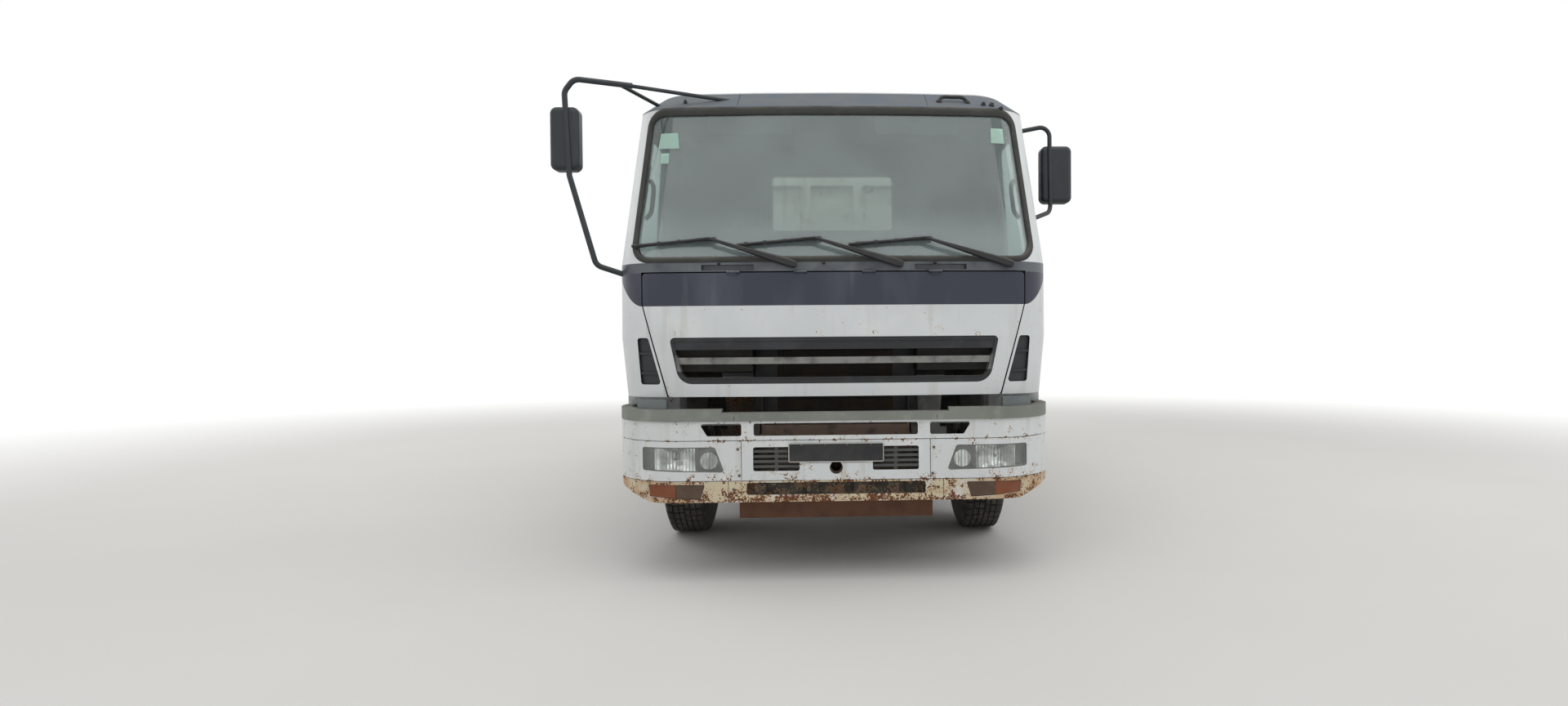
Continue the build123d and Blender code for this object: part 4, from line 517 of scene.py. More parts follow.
def clear_lens(name, colour, share=0.95, roughness=0.06, haze=0.14):
    """Lamp glass or plastic, hazed and pitted by grit."""
    f = Finish(name, colour, roughness)
    dull = f.over(srgb(176, 170, 156), f.cloud(11, 6, 0.35, 0.8, haze))
    f.put(f.shader.inputs["Transmission Weight"], f.times(f.rest(dull), share))
    return f.done()


def mirror_bowl(name, colour):
    """Bright metal of a lamp's reflector, with painted dark reflections in tall patches and along its upright facets,
    and dull patches.
    """
    f = Finish(name, colour, 0.14, 1.0)
    # painted reflections: darker tall patches and dark lines at the facets stand in for a darker surround mirrored in
    # the bowl
    f.over(srgb(104, 104, 102), f.cloud(22, 5, 0.45, 0.62, 0.75, (1, 1, 0.3)))
    f.over(srgb(64, 62, 60), f.step(f.waves(17, "X"), 0.75, 0.95, 0.7))
    f.rough(f.over(srgb(140, 132, 118), f.cloud(14, 6, 0.5, 0.75, 0.6)), 0.4)
    return f.done()


def tyre_rubber(name, colour):
    """Rubber with pale dust in its grooves and on its walls."""
    f = Finish(name, colour, 0.82)
    f.over(srgb(96, 90, 80), f.cloud(6, 8, 0.32, 0.7, 0.45))
    f.over(srgb(136, 126, 108), f.cloud(34, 6, 0.48, 0.72, 0.3))
    f.relief(f.noise(140, 6), 0.5)
    return f.done()


def woven(name, colour):
    """Seat cloth: two sets of threads, rubbed lighter in patches."""
    f = Finish(name, colour, 0.95)
    weave = f.times(f.waves(330, "X"), f.waves(330, "Z"))
    f.over(shade(colour, 2.1, 0.02), weave, 0.5)
    f.mottle(6, shade(colour, 0.6), shade(colour, 1.7), 0.5)
    f.settle(GREY_DUST, 0.4)
    f.relief(weave, 0.5)
    return f.done()


def fins(name, colour):
    """Radiator core: bright fins between flat tubes, clogged with dust."""
    f = Finish(name, colour, 0.6, 0.4)
    f.over(srgb(118, 112, 100), f.step(f.waves(40, "X"), 0.55, 0.8, 0.6))
    f.over(srgb(96, 84, 70), f.cloud(9, 7, 0.4, 0.7, 0.7))
    f.relief(f.waves(160, "Z"), 1.2)
    return f.done()


def tail_lens(name, colour):
    """Each tail lamp is red, with an amber field outside and a clear one inside."""
    f = Finish(name, colour, 0.2)
    f.over(srgb(196, 96, 20), f.step(f.side, 0.944, 0.947))
    f.over(srgb(196, 190, 178), f.step(f.side, 0.816, 0.813))
    f.relief(f.waves(45, "X"), 1.0)
    f.settle(GREY_DUST, 0.6)
    f.over(srgb(130, 116, 100), f.cloud(12, 6, 0.4, 0.75, 0.4))
    return f.done()


def chrome(name, colour):
    """Polished metal with dull patches."""
    f = Finish(name, colour, 0.14, 1.0)
    f.rough(f.over(srgb(120, 112, 100), f.cloud(30, 6, 0.5, 0.75, 0.5)), 0.45)
    return f.done()


# finishes with colours of their own. columns: maker, material, colour, the maker's other values
FINISHES = {
    "floor_paint": (plastic, "cab_floor_mat", (62, 61, 58), 0.5, 0.9, 0.6),
    "glass": (glazing, "dusty_glass", (204, 222, 220), (90, 100, 98)),
    "wiper_black": (plastic, "wiper_black", (28, 28, 30), 0.35, 0.55),
    "mirror_black": (plastic, "mirror_black", (30, 36, 41), 0.45, 0.5),
    "dash_plastic": (plastic, "dash_grey", (84, 84, 80), 0.55, 0.7, 0.4),
    "wheel_plastic": (plastic, "steering_black", (30, 30, 31), 0.3, 0.5),
    "vent_black": (plastic, "vent_black", (40, 42, 45), 0.4, 0.6),
    "grille_plastic": (grille_coat, "grille_grey", (36, 37, 40)),
    "frame_steel": (frame_coat, "frame_grey", (44, 43, 43)),
    "trim_plastic": (trim_coat, "pad_grey", (128, 131, 124)),
    "lamp_glass": (clear_lens, "headlamp_glass", (242, 245, 244), 0.95, 0.06, 0.08),
    "corner_lens": (clear_lens, "corner_lens", (116, 126, 128), 0.35, 0.3),
    "radiator_alloy": (fins, "radiator_fins", (58, 58, 58)),
    "engine_iron": (steel, "engine_grey", (88, 90, 88), 0.64),
    "axle_iron": (steel, "axle_black", (40, 40, 41), 0.62),
    "spring_steel": (steel, "spring_steel", (60, 58, 55), 0.58),
    "tank_steel": (steel, "tank_grey", (118, 120, 118), 0.66, 0.8, 0.45),
    "box_steel": (plastic, "box_black", (44, 45, 47), 0.8, 0.6),
    "air_tank_steel": (steel, "air_tank_black", (38, 38, 40), 0.64, 0.7, 0.45),
    "guard_plastic": (plastic, "guard_black", (46, 47, 48), 0.8, 0.75, 0.3),
    "shaft_steel": (steel, "shaft_steel", (66, 64, 62), 0.59),
    "rear_guard_plastic": (plastic, "rear_guard_black", (42, 43, 44), 0.8, 0.8, 0.3),
    "exhaust_steel": (steel, "exhaust_steel", (96, 84, 74), 0.54, 0.5, 0.6, 0.3),
    "intake_plastic": (plastic, "intake_black", (48, 49, 51), 0.7, 0.6),
    "bar_steel": (steel, "rear_bar_steel", (58, 58, 60), 0.62),
    "tail_lens": (tail_lens, "tail_lens", (140, 18, 14)),
    "sill_steel": (steel, "sill_grey", (96, 94, 88), 0.6),
    "hoist_paint": (steel, "hoist_grey", (92, 92, 90), 0.62),
    "rod_chrome": (chrome, "hoist_rod_chrome", (196, 196, 194)),
    "knuckle_iron": (steel, "knuckle_black", (44, 44, 44), 0.62),
    "tie_rod_steel": (steel, "tie_rod_steel", (52, 50, 48), 0.6),
    "rim_paint": (steel, "rim_white", (168, 168, 162), 0.61, 0.3, 0.5),
    "tyre_rubber": (tyre_rubber, "tyre_rubber", (44, 44, 45)),
    "screen_rubber": (plastic, "screen_rubber", (48, 48, 46), 0.7, 0.8, 0.2),
    "lamp_bowl": (mirror_bowl, "lamp_bowl", (234, 236, 234)),
    "lamp_case": (plastic, "lamp_case", (120, 121, 118), 0.3, 0.35),
    "amber_lens": (clear_lens, "amber_lens", (140, 72, 28), 0.25, 0.3),
    "dull_lens": (clear_lens, "dull_lens", (88, 64, 46), 0.25, 0.4),
    "plate_black": (plastic, "plate_black", (15, 17, 23), 0.1, 0.45, 0.05),
    "plate_rim": (plastic, "plate_rim", (196, 196, 190), 0.3, 0.5, 0.05),
    "seam_dark": (plastic, "seam_dark", (30, 29, 28), 0.2, 0.8),
    "bolt_steel": (steel, "bolt_steel", (92, 86, 78), 0.57, 0.4, 0.5, 0.4),
    "rusty_steel": (steel, "rusty_steel", (52, 44, 39), 0.55, 0.4, 0.8),
    "sticker": (plastic, "sticker_pale", (160, 190, 178), 0.0, 0.6, 0.02),
    "mirror_glass": (chrome, "mirror_glass", (196, 196, 194)),
    "grab_black": (plastic, "grab_black", (26, 26, 27), 0.2, 0.5),
    "cab_lining": (plastic, "cab_lining", (56, 56, 53), 0.1, 0.9, 0.3),
}
# finishes whose colour is set in the panel. columns: maker, material, colour, other values
PANEL_FINISHES = {
    "cab_paint": (cab_coat, "cab_white", "cab"),
    "door_paint": (panel_coat, "door_white", "cab", False, True),
    "lid_paint": (panel_coat, "lid_white", "cab"),
    "seat_cloth": (woven, "seat_cloth", "seat"),
    "bumper_paint": (bumper_coat, "bumper_white", "cab"),
    "step_plastic": (steel, "step_white", "cab", 0.62, 0.6, 0.5),
    "bed_paint": (bed_coat, "bed_white", "bed"),
    "gate_paint": (bed_coat, "gate_white", "bed"),
}
MADE_FINISHES = {}


def finish(name):
    """A finish by name, made once."""
    if name not in MADE_FINISHES:
        if name in PANEL_FINISHES:
            maker, material, colour, *values = PANEL_FINISHES[name]
            colour = getattr(bpy.context.scene.truck_colours, colour)
        else:
            maker, material, colour, *values = FINISHES[name]
            colour = srgb(*colour)
        MADE_FINISHES[name] = maker(material, colour, *values)
    return MADE_FINISHES[name]


# Mesh tools

SLOTS = {m["slot"] for m in frame["record"]["materials"]}
NODE_SLOT = {s["node"]: s["material_slot"] for s in frame["record"]["subparts"]}
# a turned part's points stay this far from its axis
LEAST_RADIUS = 0.2
# how deep a knob is set into the face it stands on
KNOB_FOOT = 2
# edges with more degrees than this between their faces are shown sharp
SHARP_ANGLE = 38


class Piece:
    """Gathers the faces of one piece and makes its object."""

    def __init__(self):
        self.bm = bmesh.new()

    def skin(self, rings, closed=False):
        """Faces between rings of points with equal counts. Both ends are covered, or, where
        closed, joined to each other."""
        rows = [[self.bm.verts.new(p) for p in ring] for ring in rings]
        count = len(rows[0])
        pairs = list(zip(rows, rows[1:]))
        if closed:
            pairs.append((rows[-1], rows[0]))
        for a, b in pairs:
            for i in range(count):
                j = (i + 1) % count
                self.bm.faces.new((a[i], a[j], b[j], b[i]))
        if not closed:
            self.bm.faces.new(rows[0])
            self.bm.faces.new(rows[-1])

    def block(self, low, high, soft=2.0, segments=2):
        """A box between two places, with edges rounded by soft millimetres."""
        a, b = spot(*low), spot(*high)
        size = b - a
        place = Matrix.Translation((a + b) / 2) @ Matrix.Diagonal((*size, 1))
        made = bmesh.ops.create_cube(self.bm, size=1, matrix=place)
        if soft:
            edges = {e for v in made["verts"] for e in v.link_edges}
            bmesh.ops.bevel(self.bm, geom=list(edges), offset=soft * MM, segments=segments,
                            affect="EDGES", profile=0.5)

    def rod(self, start, end, radius, sides=20, soft=0.0):
        """A round bar between two places."""
        self.turned([(0, radius), (1, radius)], spot(*start), spot(*end), sides, soft)

    def turned(self, section, start, end, sides=32, soft=0.0):
        """A solid of revolution. The section holds shares of the way along and radii."""
        way = end - start
        turn = way.to_track_quat("Z", "Y").to_matrix()
        if soft:
            cut = soft * MM / way.length
            (first, first_radius), *middle, (last, last_radius) = section
            section = [(first, first_radius - soft), (first + cut, first_radius), *middle,
                       (last - cut, last_radius), (last, last_radius - soft)]
        self.skin([[start + way * share + turn @ Vector((b, a, 0)) * MM
                    for a, b in circle(sides, max(radius, LEAST_RADIUS))]
                   for share, radius in section])

    def hexagon(self, place, direction, across, height):
        """A nut or bolt head with a chamfered top and a washer under it."""
        start = spot(*place)
        way = Vector(direction).normalized()
        radius = across / math.sqrt(3)
        self.turned([(0, radius * 1.15), (1, radius * 1.15)], start, start + way * 2.5 * MM, 16)
        self.turned([(0, radius), (0.85, radius), (1, radius * 0.86)], start,
                    start + way * height * MM, 6)

    def tube(self, points, radius, sides=12):
        """A round tube along points, with its frame carried from one to the next."""
        rings = []
        across = None
        for i, point in enumerate(points):
            before = points[max(i - 1, 0)]
            after = points[min(i + 1, len(points) - 1)]
            way = (after - before).normalized()
            if across is None:
                across = way.orthogonal().normalized()
            across = (across - way * across.dot(way)).normalized()
            other = way.cross(across)
            rings.append([point + (across * b + other * a) * MM for a, b in circle(sides, radius)])
        self.skin(rings)

    def plate(self, outline, front, rear, soft=0.0):
        """An outline of (x, z) carried from a front station to a rear one. Its front edge is
        cut back by soft."""
        rings = [ring_at(outline, front, soft), ring_at(outline, rear)]
        if soft:
            rings.insert(0, ring_at(shrunk(outline, soft), front))
        self.skin(rings)

    def knob(self, x, z, section, height, sides):
        """A turned part that stands on the cab's front face."""
        foot, normal = face_ahead(x, z, "cab_shell")
        self.turned(section, foot - normal * KNOB_FOOT * MM, foot + normal * height * MM, sides)

    def face_seam(self, x, heights, node, half, proud, depth):
        """A thin line up a node's front face."""
        corners = ((-half, proud), (half, proud), (half, proud - depth), (-half, proud - depth))
        rows = []
        for z in heights:
            here, normal = face_ahead(x, z, node)
            rows.append([here + (Vector((a, 0, 0)) + normal * b) * MM for a, b in corners])
        self.skin(rows)

    def both_sides(self):
        """Adds the mirror image across the truck's middle plane."""
        everything = self.bm.verts[:] + self.bm.edges[:] + self.bm.faces[:]
        made = bmesh.ops.duplicate(self.bm, geom=everything)
        verts = [g for g in made["geom"] if isinstance(g, bmesh.types.BMVert)]
        bmesh.ops.scale(self.bm, vec=(-1, 1, 1), verts=verts)
        return self

    def made(self, name, body, look, stands_for=(), smoother=0):
        """The finished object, riding on its CAD body. smoother is how often it is subdivided."""
        bmesh.ops.recalc_face_normals(self.bm, faces=self.bm.faces)
        mesh = bpy.data.meshes.new(name)
        self.bm.to_mesh(mesh)
        self.bm.free()
        obj = bpy.data.objects.new(name, mesh)
        bpy.context.scene.collection.objects.link(obj)
        for polygon in mesh.polygons:
            polygon.use_smooth = True
        mesh.set_sharp_from_angle(angle=math.radians(SHARP_ANGLE))
        mesh.materials.append(finish(look))
        if smoother:
            rounder = obj.modifiers.new("rounder", "SUBSURF")
            rounder.levels = rounder.render_levels = smoother
        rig.ride(obj, body)
        if look in SLOTS:
            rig.slot(obj, look)
        if stands_for:
            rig.replaces(obj, *stands_for)
        return obj


def circle(count, radius, shift=0.0):
    """Sine and cosine lengths of even steps round a circle. shift is a share of a step."""
    angles = [2 * math.pi * (i + shift) / count for i in range(count)]
    return [(radius * math.sin(a), radius * math.cos(a)) for a in angles]


def ring_at(outline, station, behind=0.0):
    """An outline of (x, z) at a station, which is a number or a function of x."""
    return [spot(x, (station(x) if callable(station) else station) + behind, z)
            for x, z in outline]


def panel(x0, x1, z0, z1, radius, steps):
    """The outline of a rectangle with rounded corners."""
    return rounded(((x0, z0), (x1, z0), (x1, z1), (x0, z1)), radius, steps)


def rounded(corners, radius, steps):
    """An outline with its corners rounded."""
    points = []
    count = len(corners)
    for i, corner in enumerate(corners):
        here = Vector(corner)
        before = (Vector(corners[i - 1]) - here).normalized()
        after = (Vector(corners[(i + 1) % count]) - here).normalized()
        half = before.angle(after) / 2
        cut = radius / math.tan(half)
        centre = here + (before + after).normalized() * (radius / math.sin(half))
        first = here + before * cut - centre
        last = here + after * cut - centre
        sweep = first.angle(last)
        turn = 1 if first.x * last.y - first.y * last.x > 0 else -1
        for k in range(steps + 1):
            a = turn * sweep * k / steps
            points.append((centre.x + first.x * math.cos(a) - first.y * math.sin(a),
                           centre.y + first.x * math.sin(a) + first.y * math.cos(a)))
    return points


def shrunk(outline, by):
    """The outline moved inwards."""
    count = len(outline)
    area = sum(outline[i - 1][0] * outline[i][1] - outline[i][0] * outline[i - 1][1]
               for i in range(count))
    side = 1 if area > 0 else -1
    made = []
    for i in range(count):
        before = Vector(outline[i - 1])
        after = Vector(outline[(i + 1) % count])
        way = (after - before).normalized()
        made.append((outline[i][0] - way.y * by * side, outline[i][1] + way.x * by * side))
    return made


def split_long(outline, longest):
    """More points on the long stretches, so that they can follow a curved face."""
    made = []
    for i, point in enumerate(outline):
        following = outline[(i + 1) % len(outline)]
        count = max(1, int(math.dist(point, following) / longest))
        for k in range(count):
            share = k / count
            made.append((point[0] + (following[0] - point[0]) * share,
                         point[1] + (following[1] - point[1]) * share))
    return made


def cut_outline(outline, x, keep):
    """The part of an outline on one side of x: keep 1 for the greater side, -1 for the lesser."""
    made = []
    count = len(outline)
    for i in range(count):
        a, b = outline[i], outline[(i + 1) % count]
        if (a[0] - x) * keep >= 0:
            made.append(a)
        if (a[0] - x) * (b[0] - x) < 0:
            share = (x - a[0]) / (b[0] - a[0])
            made.append((x, a[1] + (b[1] - a[1]) * share))
    return made


def curved(points, steps):
    """Points of a smooth line through the given ones."""
    made = []
    for i in range(len(points) - 1):
        a = points[max(i - 1, 0)]
        b, c = points[i], points[i + 1]
        d = points[min(i + 2, len(points) - 1)]
        for k in range(steps):
            t = k / steps
            made.append(0.5 * ((2 * b) + (c - a) * t + (2 * a - 5 * b + 4 * c - d) * t ** 2
                               + (3 * b - a - 3 * c + d) * t ** 3))
    made.append(points[-1])
    return made


# places outside the truck, where rays start
AHEAD = -900
BESIDE = 2200
TREES = {}


def tree_of(names):
    """A search tree over the faces of these CAD nodes."""
    if names not in TREES:
        points, faces = [], []
        for name in names:
            start = len(points)
            mesh = NODES[name].data
            points += [v.co.copy() for v in mesh.vertices]
            faces += [[start + i for i in p.vertices] for p in mesh.polygons]
        TREES[names] = BVHTree.FromPolygons(points, faces)
    return TREES[names]


def face_from(start, way, *names):
    """Point and outward direction of the first face of these nodes along a ray."""
    hit, normal, _, _ = tree_of(names).ray_cast(spot(*start), Vector(way))
    if hit is None:
        raise RuntimeError(f"no face of {names} from {start}")
    return hit, normal


def face_ahead(x, z, *names):
    """Point and outward direction of the first face of these nodes, seen from the front."""
    return face_from((x, AHEAD, z), (0, 1, 0), *names)


def face_beside(side, station, z, *names):
    """Distance across of the first face of these nodes, seen from one side."""
    return abs(face_from((side * BESIDE, station, z), (-side, 0, 0), *names)[0].x) / MM


# Sizes that the pieces share with the solids
BUMPER_HALF = 1245
BUMPER_CORNER = 400
AXLE_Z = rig.box("tyre_front_left")[1].z / MM / 2
FRONT_AXLE_AT = 1380
REAR_AXLES_AT = {"a": 5280, "b": 6590}
TRUNNION_AT = 5935
TYRE_RADIUS = AXLE_Z
TYRE_HALF = 145
FRONT_TYRE_X = 990
REAR_TYRE_X = (755, 1095)
REAR_WHEEL_X = 925
SIDES = (("left", 1), ("right", -1))


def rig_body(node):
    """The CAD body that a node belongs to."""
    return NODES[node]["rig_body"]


def bumper_station(x, inset=0.0):
    """Station of the bumper's face, whose ends turn back on a radius."""
    flat = BUMPER_HALF - BUMPER_CORNER
    if abs(x) <= flat:
        return inset
    radius = BUMPER_CORNER - inset
    return BUMPER_CORNER - math.sqrt(max(radius ** 2 - (abs(x) - flat) ** 2, 1))


def bumper_ring(outline, inset):
    """An outline of (x, z) at this depth behind the bumper's face."""
    return ring_at(outline, lambda x: bumper_station(x, inset))


class TruckColours(bpy.types.PropertyGroup):
    """Colours that a user would change."""

    cab: FloatVectorProperty(
        name="Cab paint", description="Faded white of the cab and bumper",
        subtype="COLOR", size=3, min=0, max=1, default=WHITE_PAINT)
    bed: FloatVectorProperty(
        name="Bed paint", description="Worn paint on the outside of the dump bed",
        subtype="COLOR", size=3, min=0, max=1, default=srgb(208, 207, 197))
    seat: FloatVectorProperty(
        name="Seat cloth", description="Woven cover of the seats",
        subtype="COLOR", size=3, min=0, max=1, default=srgb(58, 62, 70))


class TruckSizes(bpy.types.PropertyGroup):
    """Sizes that a user would change. The solids set all the others."""

    tread_pitches: IntProperty(
        name="Tread pitches", description="How often the tread repeats round a tyre",
        default=50, min=30, max=80)
    tread_depth: FloatProperty(
        name="Tread depth", description="Depth of the grooves between the tread's blocks",
        default=0.012, min=0.004, max=0.02, unit="LENGTH")
    rubber_height: FloatProperty(
        name="Screen rubber", description="How far the windscreen's rubber stands proud",
        default=0.009, min=0.003, max=0.02, unit="LENGTH")
    lens: FloatProperty(
        name="Camera lens", description="Focal length on a 36 mm wide sensor",
        default=20.18, min=10, max=80, unit="CAMERA")


class PaintFrame(bpy.types.Operator):
    """Gives each CAD node the finish of its material slot"""

    bl_idname = "truck.paint_frame"
    bl_label = "Finishes of the solids"

    def execute(self, context):
        for name, obj in NODES.items():
            look = finish(NODE_SLOT[name])
            if not obj.material_slots:
                obj.data.materials.append(look)
            for slot in obj.material_slots:
                slot.material = look
        return {"FINISHED"}


# Tyres and wheels

# half section of the carcass, from the bead out to the middle. columns: across, radius
CARCASS = ((106, 262), (113, 272), (114, 284), (126, 306), (129, 308), (138, 340), (144, 372),
           (145, 395), (143, 420), (138, 448), (139, 452), (131, 484), (123, 502), (112, 512),
           (70, 515), (0, 516))
CARCASS_STEPS = 96
# tread blocks on one half. columns: inner edge, outer edge, skew, length as a share of the pitch
TREAD_RIBS = ((4, 33, 0.10, 0.84), (40, 70, -0.12, 0.80))
SHOULDER_BLOCK = ((77, 530), (106, 530), (113, 524), (123, 500), (127, 486), (118, 486), (77, 510))
# both ends of a block. columns: share of its length, how far its top is cut back
BLOCK_ENDS = ((-0.5, 3), (-0.44, 0), (0.44, 0), (0.5, 3))
# blocks reach this far into the carcass, and their top starts this far below the tyre's radius
BLOCK_ROOT = 5
BLOCK_TOP = 8


def add_tyre(piece, x, station, sizes, facing):
    """One tyre: a turned carcass with ribs on its walls, and six rows of tread blocks."""
    def at(across, radius, angle):
        return spot(x + across, station + radius * math.sin(angle),
                    AXLE_Z - radius * math.cos(angle))

    wall = [*CARCASS, *((-across, radius) for across, radius in reversed(CARCASS[:-1]))]
    piece.skin([[at(across, radius, 2 * math.pi * i / CARCASS_STEPS) for across, radius in wall]
                for i in range(CARCASS_STEPS)], closed=True)
    pitch = 2 * math.pi / sizes.tread_pitches
    floor = TYRE_RADIUS - sizes.tread_depth / MM - BLOCK_ROOT
    rows = [(((inner, TYRE_RADIUS), (outer, TYRE_RADIUS), (outer + 1, floor), (inner - 1, floor)),
             skew, share) for inner, outer, skew, share in TREAD_RIBS]
    rows.append((SHOULDER_BLOCK, 0.1, 0.72))
    for i in range(sizes.tread_pitches):
        for side, phase in ((-1, i + 0.5), (1, i)):
            for section, skew, share in rows:
                piece.skin([[at(side * across,
                                radius - (cut if radius > TYRE_RADIUS - BLOCK_TOP else 0),
                                (phase + end * share + skew * across / TYRE_HALF * facing) * pitch)
                             for across, radius in section] for end, cut in BLOCK_ENDS])


class MakeTyres(bpy.types.Operator):
    """Tyres with tread blocks and ribbed walls, in place of the plain solids"""

    bl_idname = "truck.make_tyres"
    bl_label = "Tyres"

    def execute(self, context):
        for word, side in SIDES:
            # columns: node, name, station, middles across
            sets = [(f"tyre_front_{word}", f"tread_front_{word}", FRONT_AXLE_AT, [FRONT_TYRE_X])]
            sets += [(f"tyres_rear_{axle}_{word}", f"tread_rear_{axle}_{word}", station,
                      REAR_TYRE_X) for axle, station in REAR_AXLES_AT.items()]
            for node, name, station, middles in sets:
                piece = Piece()
                for x in middles:
                    add_tyre(piece, side * x, station, context.scene.truck_sizes, side)
                piece.made(name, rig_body(node), "tyre_rubber", [node])
        return {"FINISHED"}


NUT_COUNT = 10
NUT_CIRCLE = 129
NUT_ACROSS = 33
NUT_HEIGHT = 24
STUD_RADIUS = 10
HUB_BOLT_COUNT = 8
HUB_BOLT_ACROSS = 17
HUB_BOLT_HEIGHT = 9
# outwards from the wheel's middle to its disc and to the hub's cover, and the cover's bolt circle
FRONT_HUB = (74, 138, 82)
REAR_HUB = (20, 165, 86)


class MakeWheelNuts(bpy.types.Operator):
    """Wheel nuts on their studs, and the bolts round each hub's cover"""

    bl_idname = "truck.make_wheel_nuts"
    bl_label = "Wheel nuts"

    def execute(self, context):
        # columns: node, side, station, the wheel's middle, its hub
        wheels = [(f"wheel_front_{word}", side, FRONT_AXLE_AT, FRONT_TYRE_X, FRONT_HUB)
                  for word, side in SIDES]
        wheels += [(f"wheel_rear_{axle}_{word}", side, station, REAR_WHEEL_X, REAR_HUB)
                   for word, side in SIDES for axle, station in REAR_AXLES_AT.items()]
        for node, side, station, middle, (disc, cover, bolt_circle) in wheels:
            piece = Piece()
            face = middle + disc
            for a, b in circle(NUT_COUNT, NUT_CIRCLE, 0.5):
                u, z = station + a, AXLE_Z + b
                piece.hexagon((side * face, u, z), (side, 0, 0), NUT_ACROSS, NUT_HEIGHT)
                piece.rod((side * (face + NUT_HEIGHT - 4), u, z),
                          (side * (face + NUT_HEIGHT + 10), u, z), STUD_RADIUS, 12, 1.5)
            for a, b in circle(HUB_BOLT_COUNT, bolt_circle):
                piece.hexagon((side * (middle + cover), station + a, AXLE_Z + b), (side, 0, 0),
                              HUB_BOLT_ACROSS, HUB_BOLT_HEIGHT)
            piece.made(node.replace("wheel", "nuts"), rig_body(node), "bolt_steel")
        return {"FINISHED"}


# Cab front

# columns: height, half width of the rubber's middle line
RUBBER_LOW = (1773, 1132)
RUBBER_HIGH = (2686, 1078)
RUBBER_CORNER = 98
RUBBER_STEP = 55
# section of the rubber. columns: outwards from its middle line, height over the panel as a share
RUBBER_SECTION = ((-20, -1.0), (-20, 0.1), (-15, 0.7), (-5, 1.0), (6, 0.95), (14, 0.5), (17, -0.2),
                  (16, -0.6))
# how much wider the inner lip is along the top, where it covers more of the glass
TOP_LIP = 0.9


class MakeScreenRubber(bpy.types.Operator):
    """Thick rubber round the windscreen, following the cab's curved face"""

    bl_idname = "truck.make_screen_rubber"
    bl_label = "Windscreen rubber"

    def execute(self, context):
        proud = context.scene.truck_sizes.rubber_height / MM
        (low, low_half), (high, high_half) = RUBBER_LOW, RUBBER_HIGH
        corners = ((-low_half, low), (low_half, low), (high_half, high), (-high_half, high))
        path = split_long(rounded(corners, RUBBER_CORNER, 10), RUBBER_STEP)
        middle = Vector((0, (low + high) / 2))
        rings = []
        for i, (x, z) in enumerate(path):
            here, normal = face_ahead(x, z, "cab_shell")
            way = (Vector(path[(i + 1) % len(path)]) - Vector(path[i - 1])).normalized()
            out = Vector((way.y, -way.x))
            if out.dot(Vector((x, z)) - middle) < 0:
                out = -out
            outwards = Vector((out.x, 0, out.y))
            outwards = (outwards - normal * outwards.dot(normal)).normalized()
            lip = 1 + TOP_LIP * min(max((z - high + RUBBER_CORNER) / RUBBER_CORNER, 0), 1)
            rings.append([here + outwards * a * (lip if a < 0 else 1) * MM
                          + normal * b * proud * MM for a, b in RUBBER_SECTION])
        piece = Piece()
        piece.skin(rings, closed=True)
        piece.made("screen_rubber", "cab", "screen_rubber")
        return {"FINISHED"}


WIPER_PIVOTS = (-232, 355, 974)
WIPER_PIVOT_Z = 1745
WIPER_ELBOW = (-468, 148)
WIPER_TIP = (-896, 110)
# cover over an arm. columns: share of the arm, half width, how far it stands ahead
COVER_SECTIONS = ((-0.05, 12, 4), (-0.03, 21, 7), (0.06, 24, 9), (0.3, 19, 8), (0.62, 12, 7),
                  (0.95, 8, 6), (1.0, 6, 4))
# section of a blade. columns: ahead of the glass, above the blade's line
BLADE_SECTION = ((3, -1.5), (14, -3), (15, -9), (27, -9), (30, -4), (30, 4), (27, 9), (15, 9),
                 (14, 3), (3, 1.5))
BLADE_STEPS = 24
BLADE_OVERHANG = 40
BLADE_CLIPS = (0.12, 0.36, 0.62, 0.86)
JETS_X = (-640, -60, 560)
JETS_Z = 1752


class MakeWipers(bpy.types.Operator):
    """Tapered covers over the wiper arms, their blades and clips, and the washer jets"""

    bl_idname = "truck.make_wipers"
    bl_label = "Wipers"

    def execute(self, context):
        covers, blades, jets = Piece(), Piece(), Piece()
        for x in WIPER_PIVOTS:
            elbow_x, elbow_z = x + WIPER_ELBOW[0], WIPER_PIVOT_Z + WIPER_ELBOW[1]
            tip_x, tip_z = x + WIPER_TIP[0], WIPER_PIVOT_Z + WIPER_TIP[1]
            start = face_ahead(x, WIPER_PIVOT_Z, "wipers")[0]
            way = face_ahead(elbow_x + 6, elbow_z - 2, "wipers")[0] - start
            across = Vector((-way.z, 0, way.x)).normalized()
            rings = []
            for share, half, ahead in COVER_SECTIONS:
                corners = ((-1, 14), (-1, 2), (-0.6, -ahead), (0.6, -ahead), (1, 2), (1, 14))
                rings.append([start + way * share + (across * a * half + Vector((0, b, 0))) * MM
                              for a, b in corners])
            covers.skin(rings)

            rows = []
            for i in range(BLADE_STEPS + 1):
                share = i / BLADE_STEPS
                here = face_ahead(tip_x + (elbow_x + BLADE_OVERHANG - tip_x) * share,
                                  tip_z + (elbow_z - tip_z) * share, "cab_glass", "cab_shell")[0]
                rows.append([here + Vector((0, -a, b)) * MM for a, b in BLADE_SECTION])
            blades.skin(rows)
            for share in BLADE_CLIPS:
                cx, cz = tip_x + (elbow_x - tip_x) * share, tip_z + (elbow_z - tip_z) * share
                glass = (face_ahead(cx, cz, "cab_glass", "cab_shell")[0].y - BUMPER_Y) / MM
                blades.block((cx - 9, glass - 34, cz - 11), (cx + 9, glass - 12, cz + 11), 2)
        for x in JETS_X:
            jets.knob(x, JETS_Z, [(0, 9), (0.7, 8), (1, 4)], 12, 14)
        covers.made("wiper_covers", "cab", "wiper_black")
        blades.made("wiper_blades", "cab", "wiper_black")
        jets.made("washer_jets", "cab", "wiper_black")
        return {"FINISHED"}


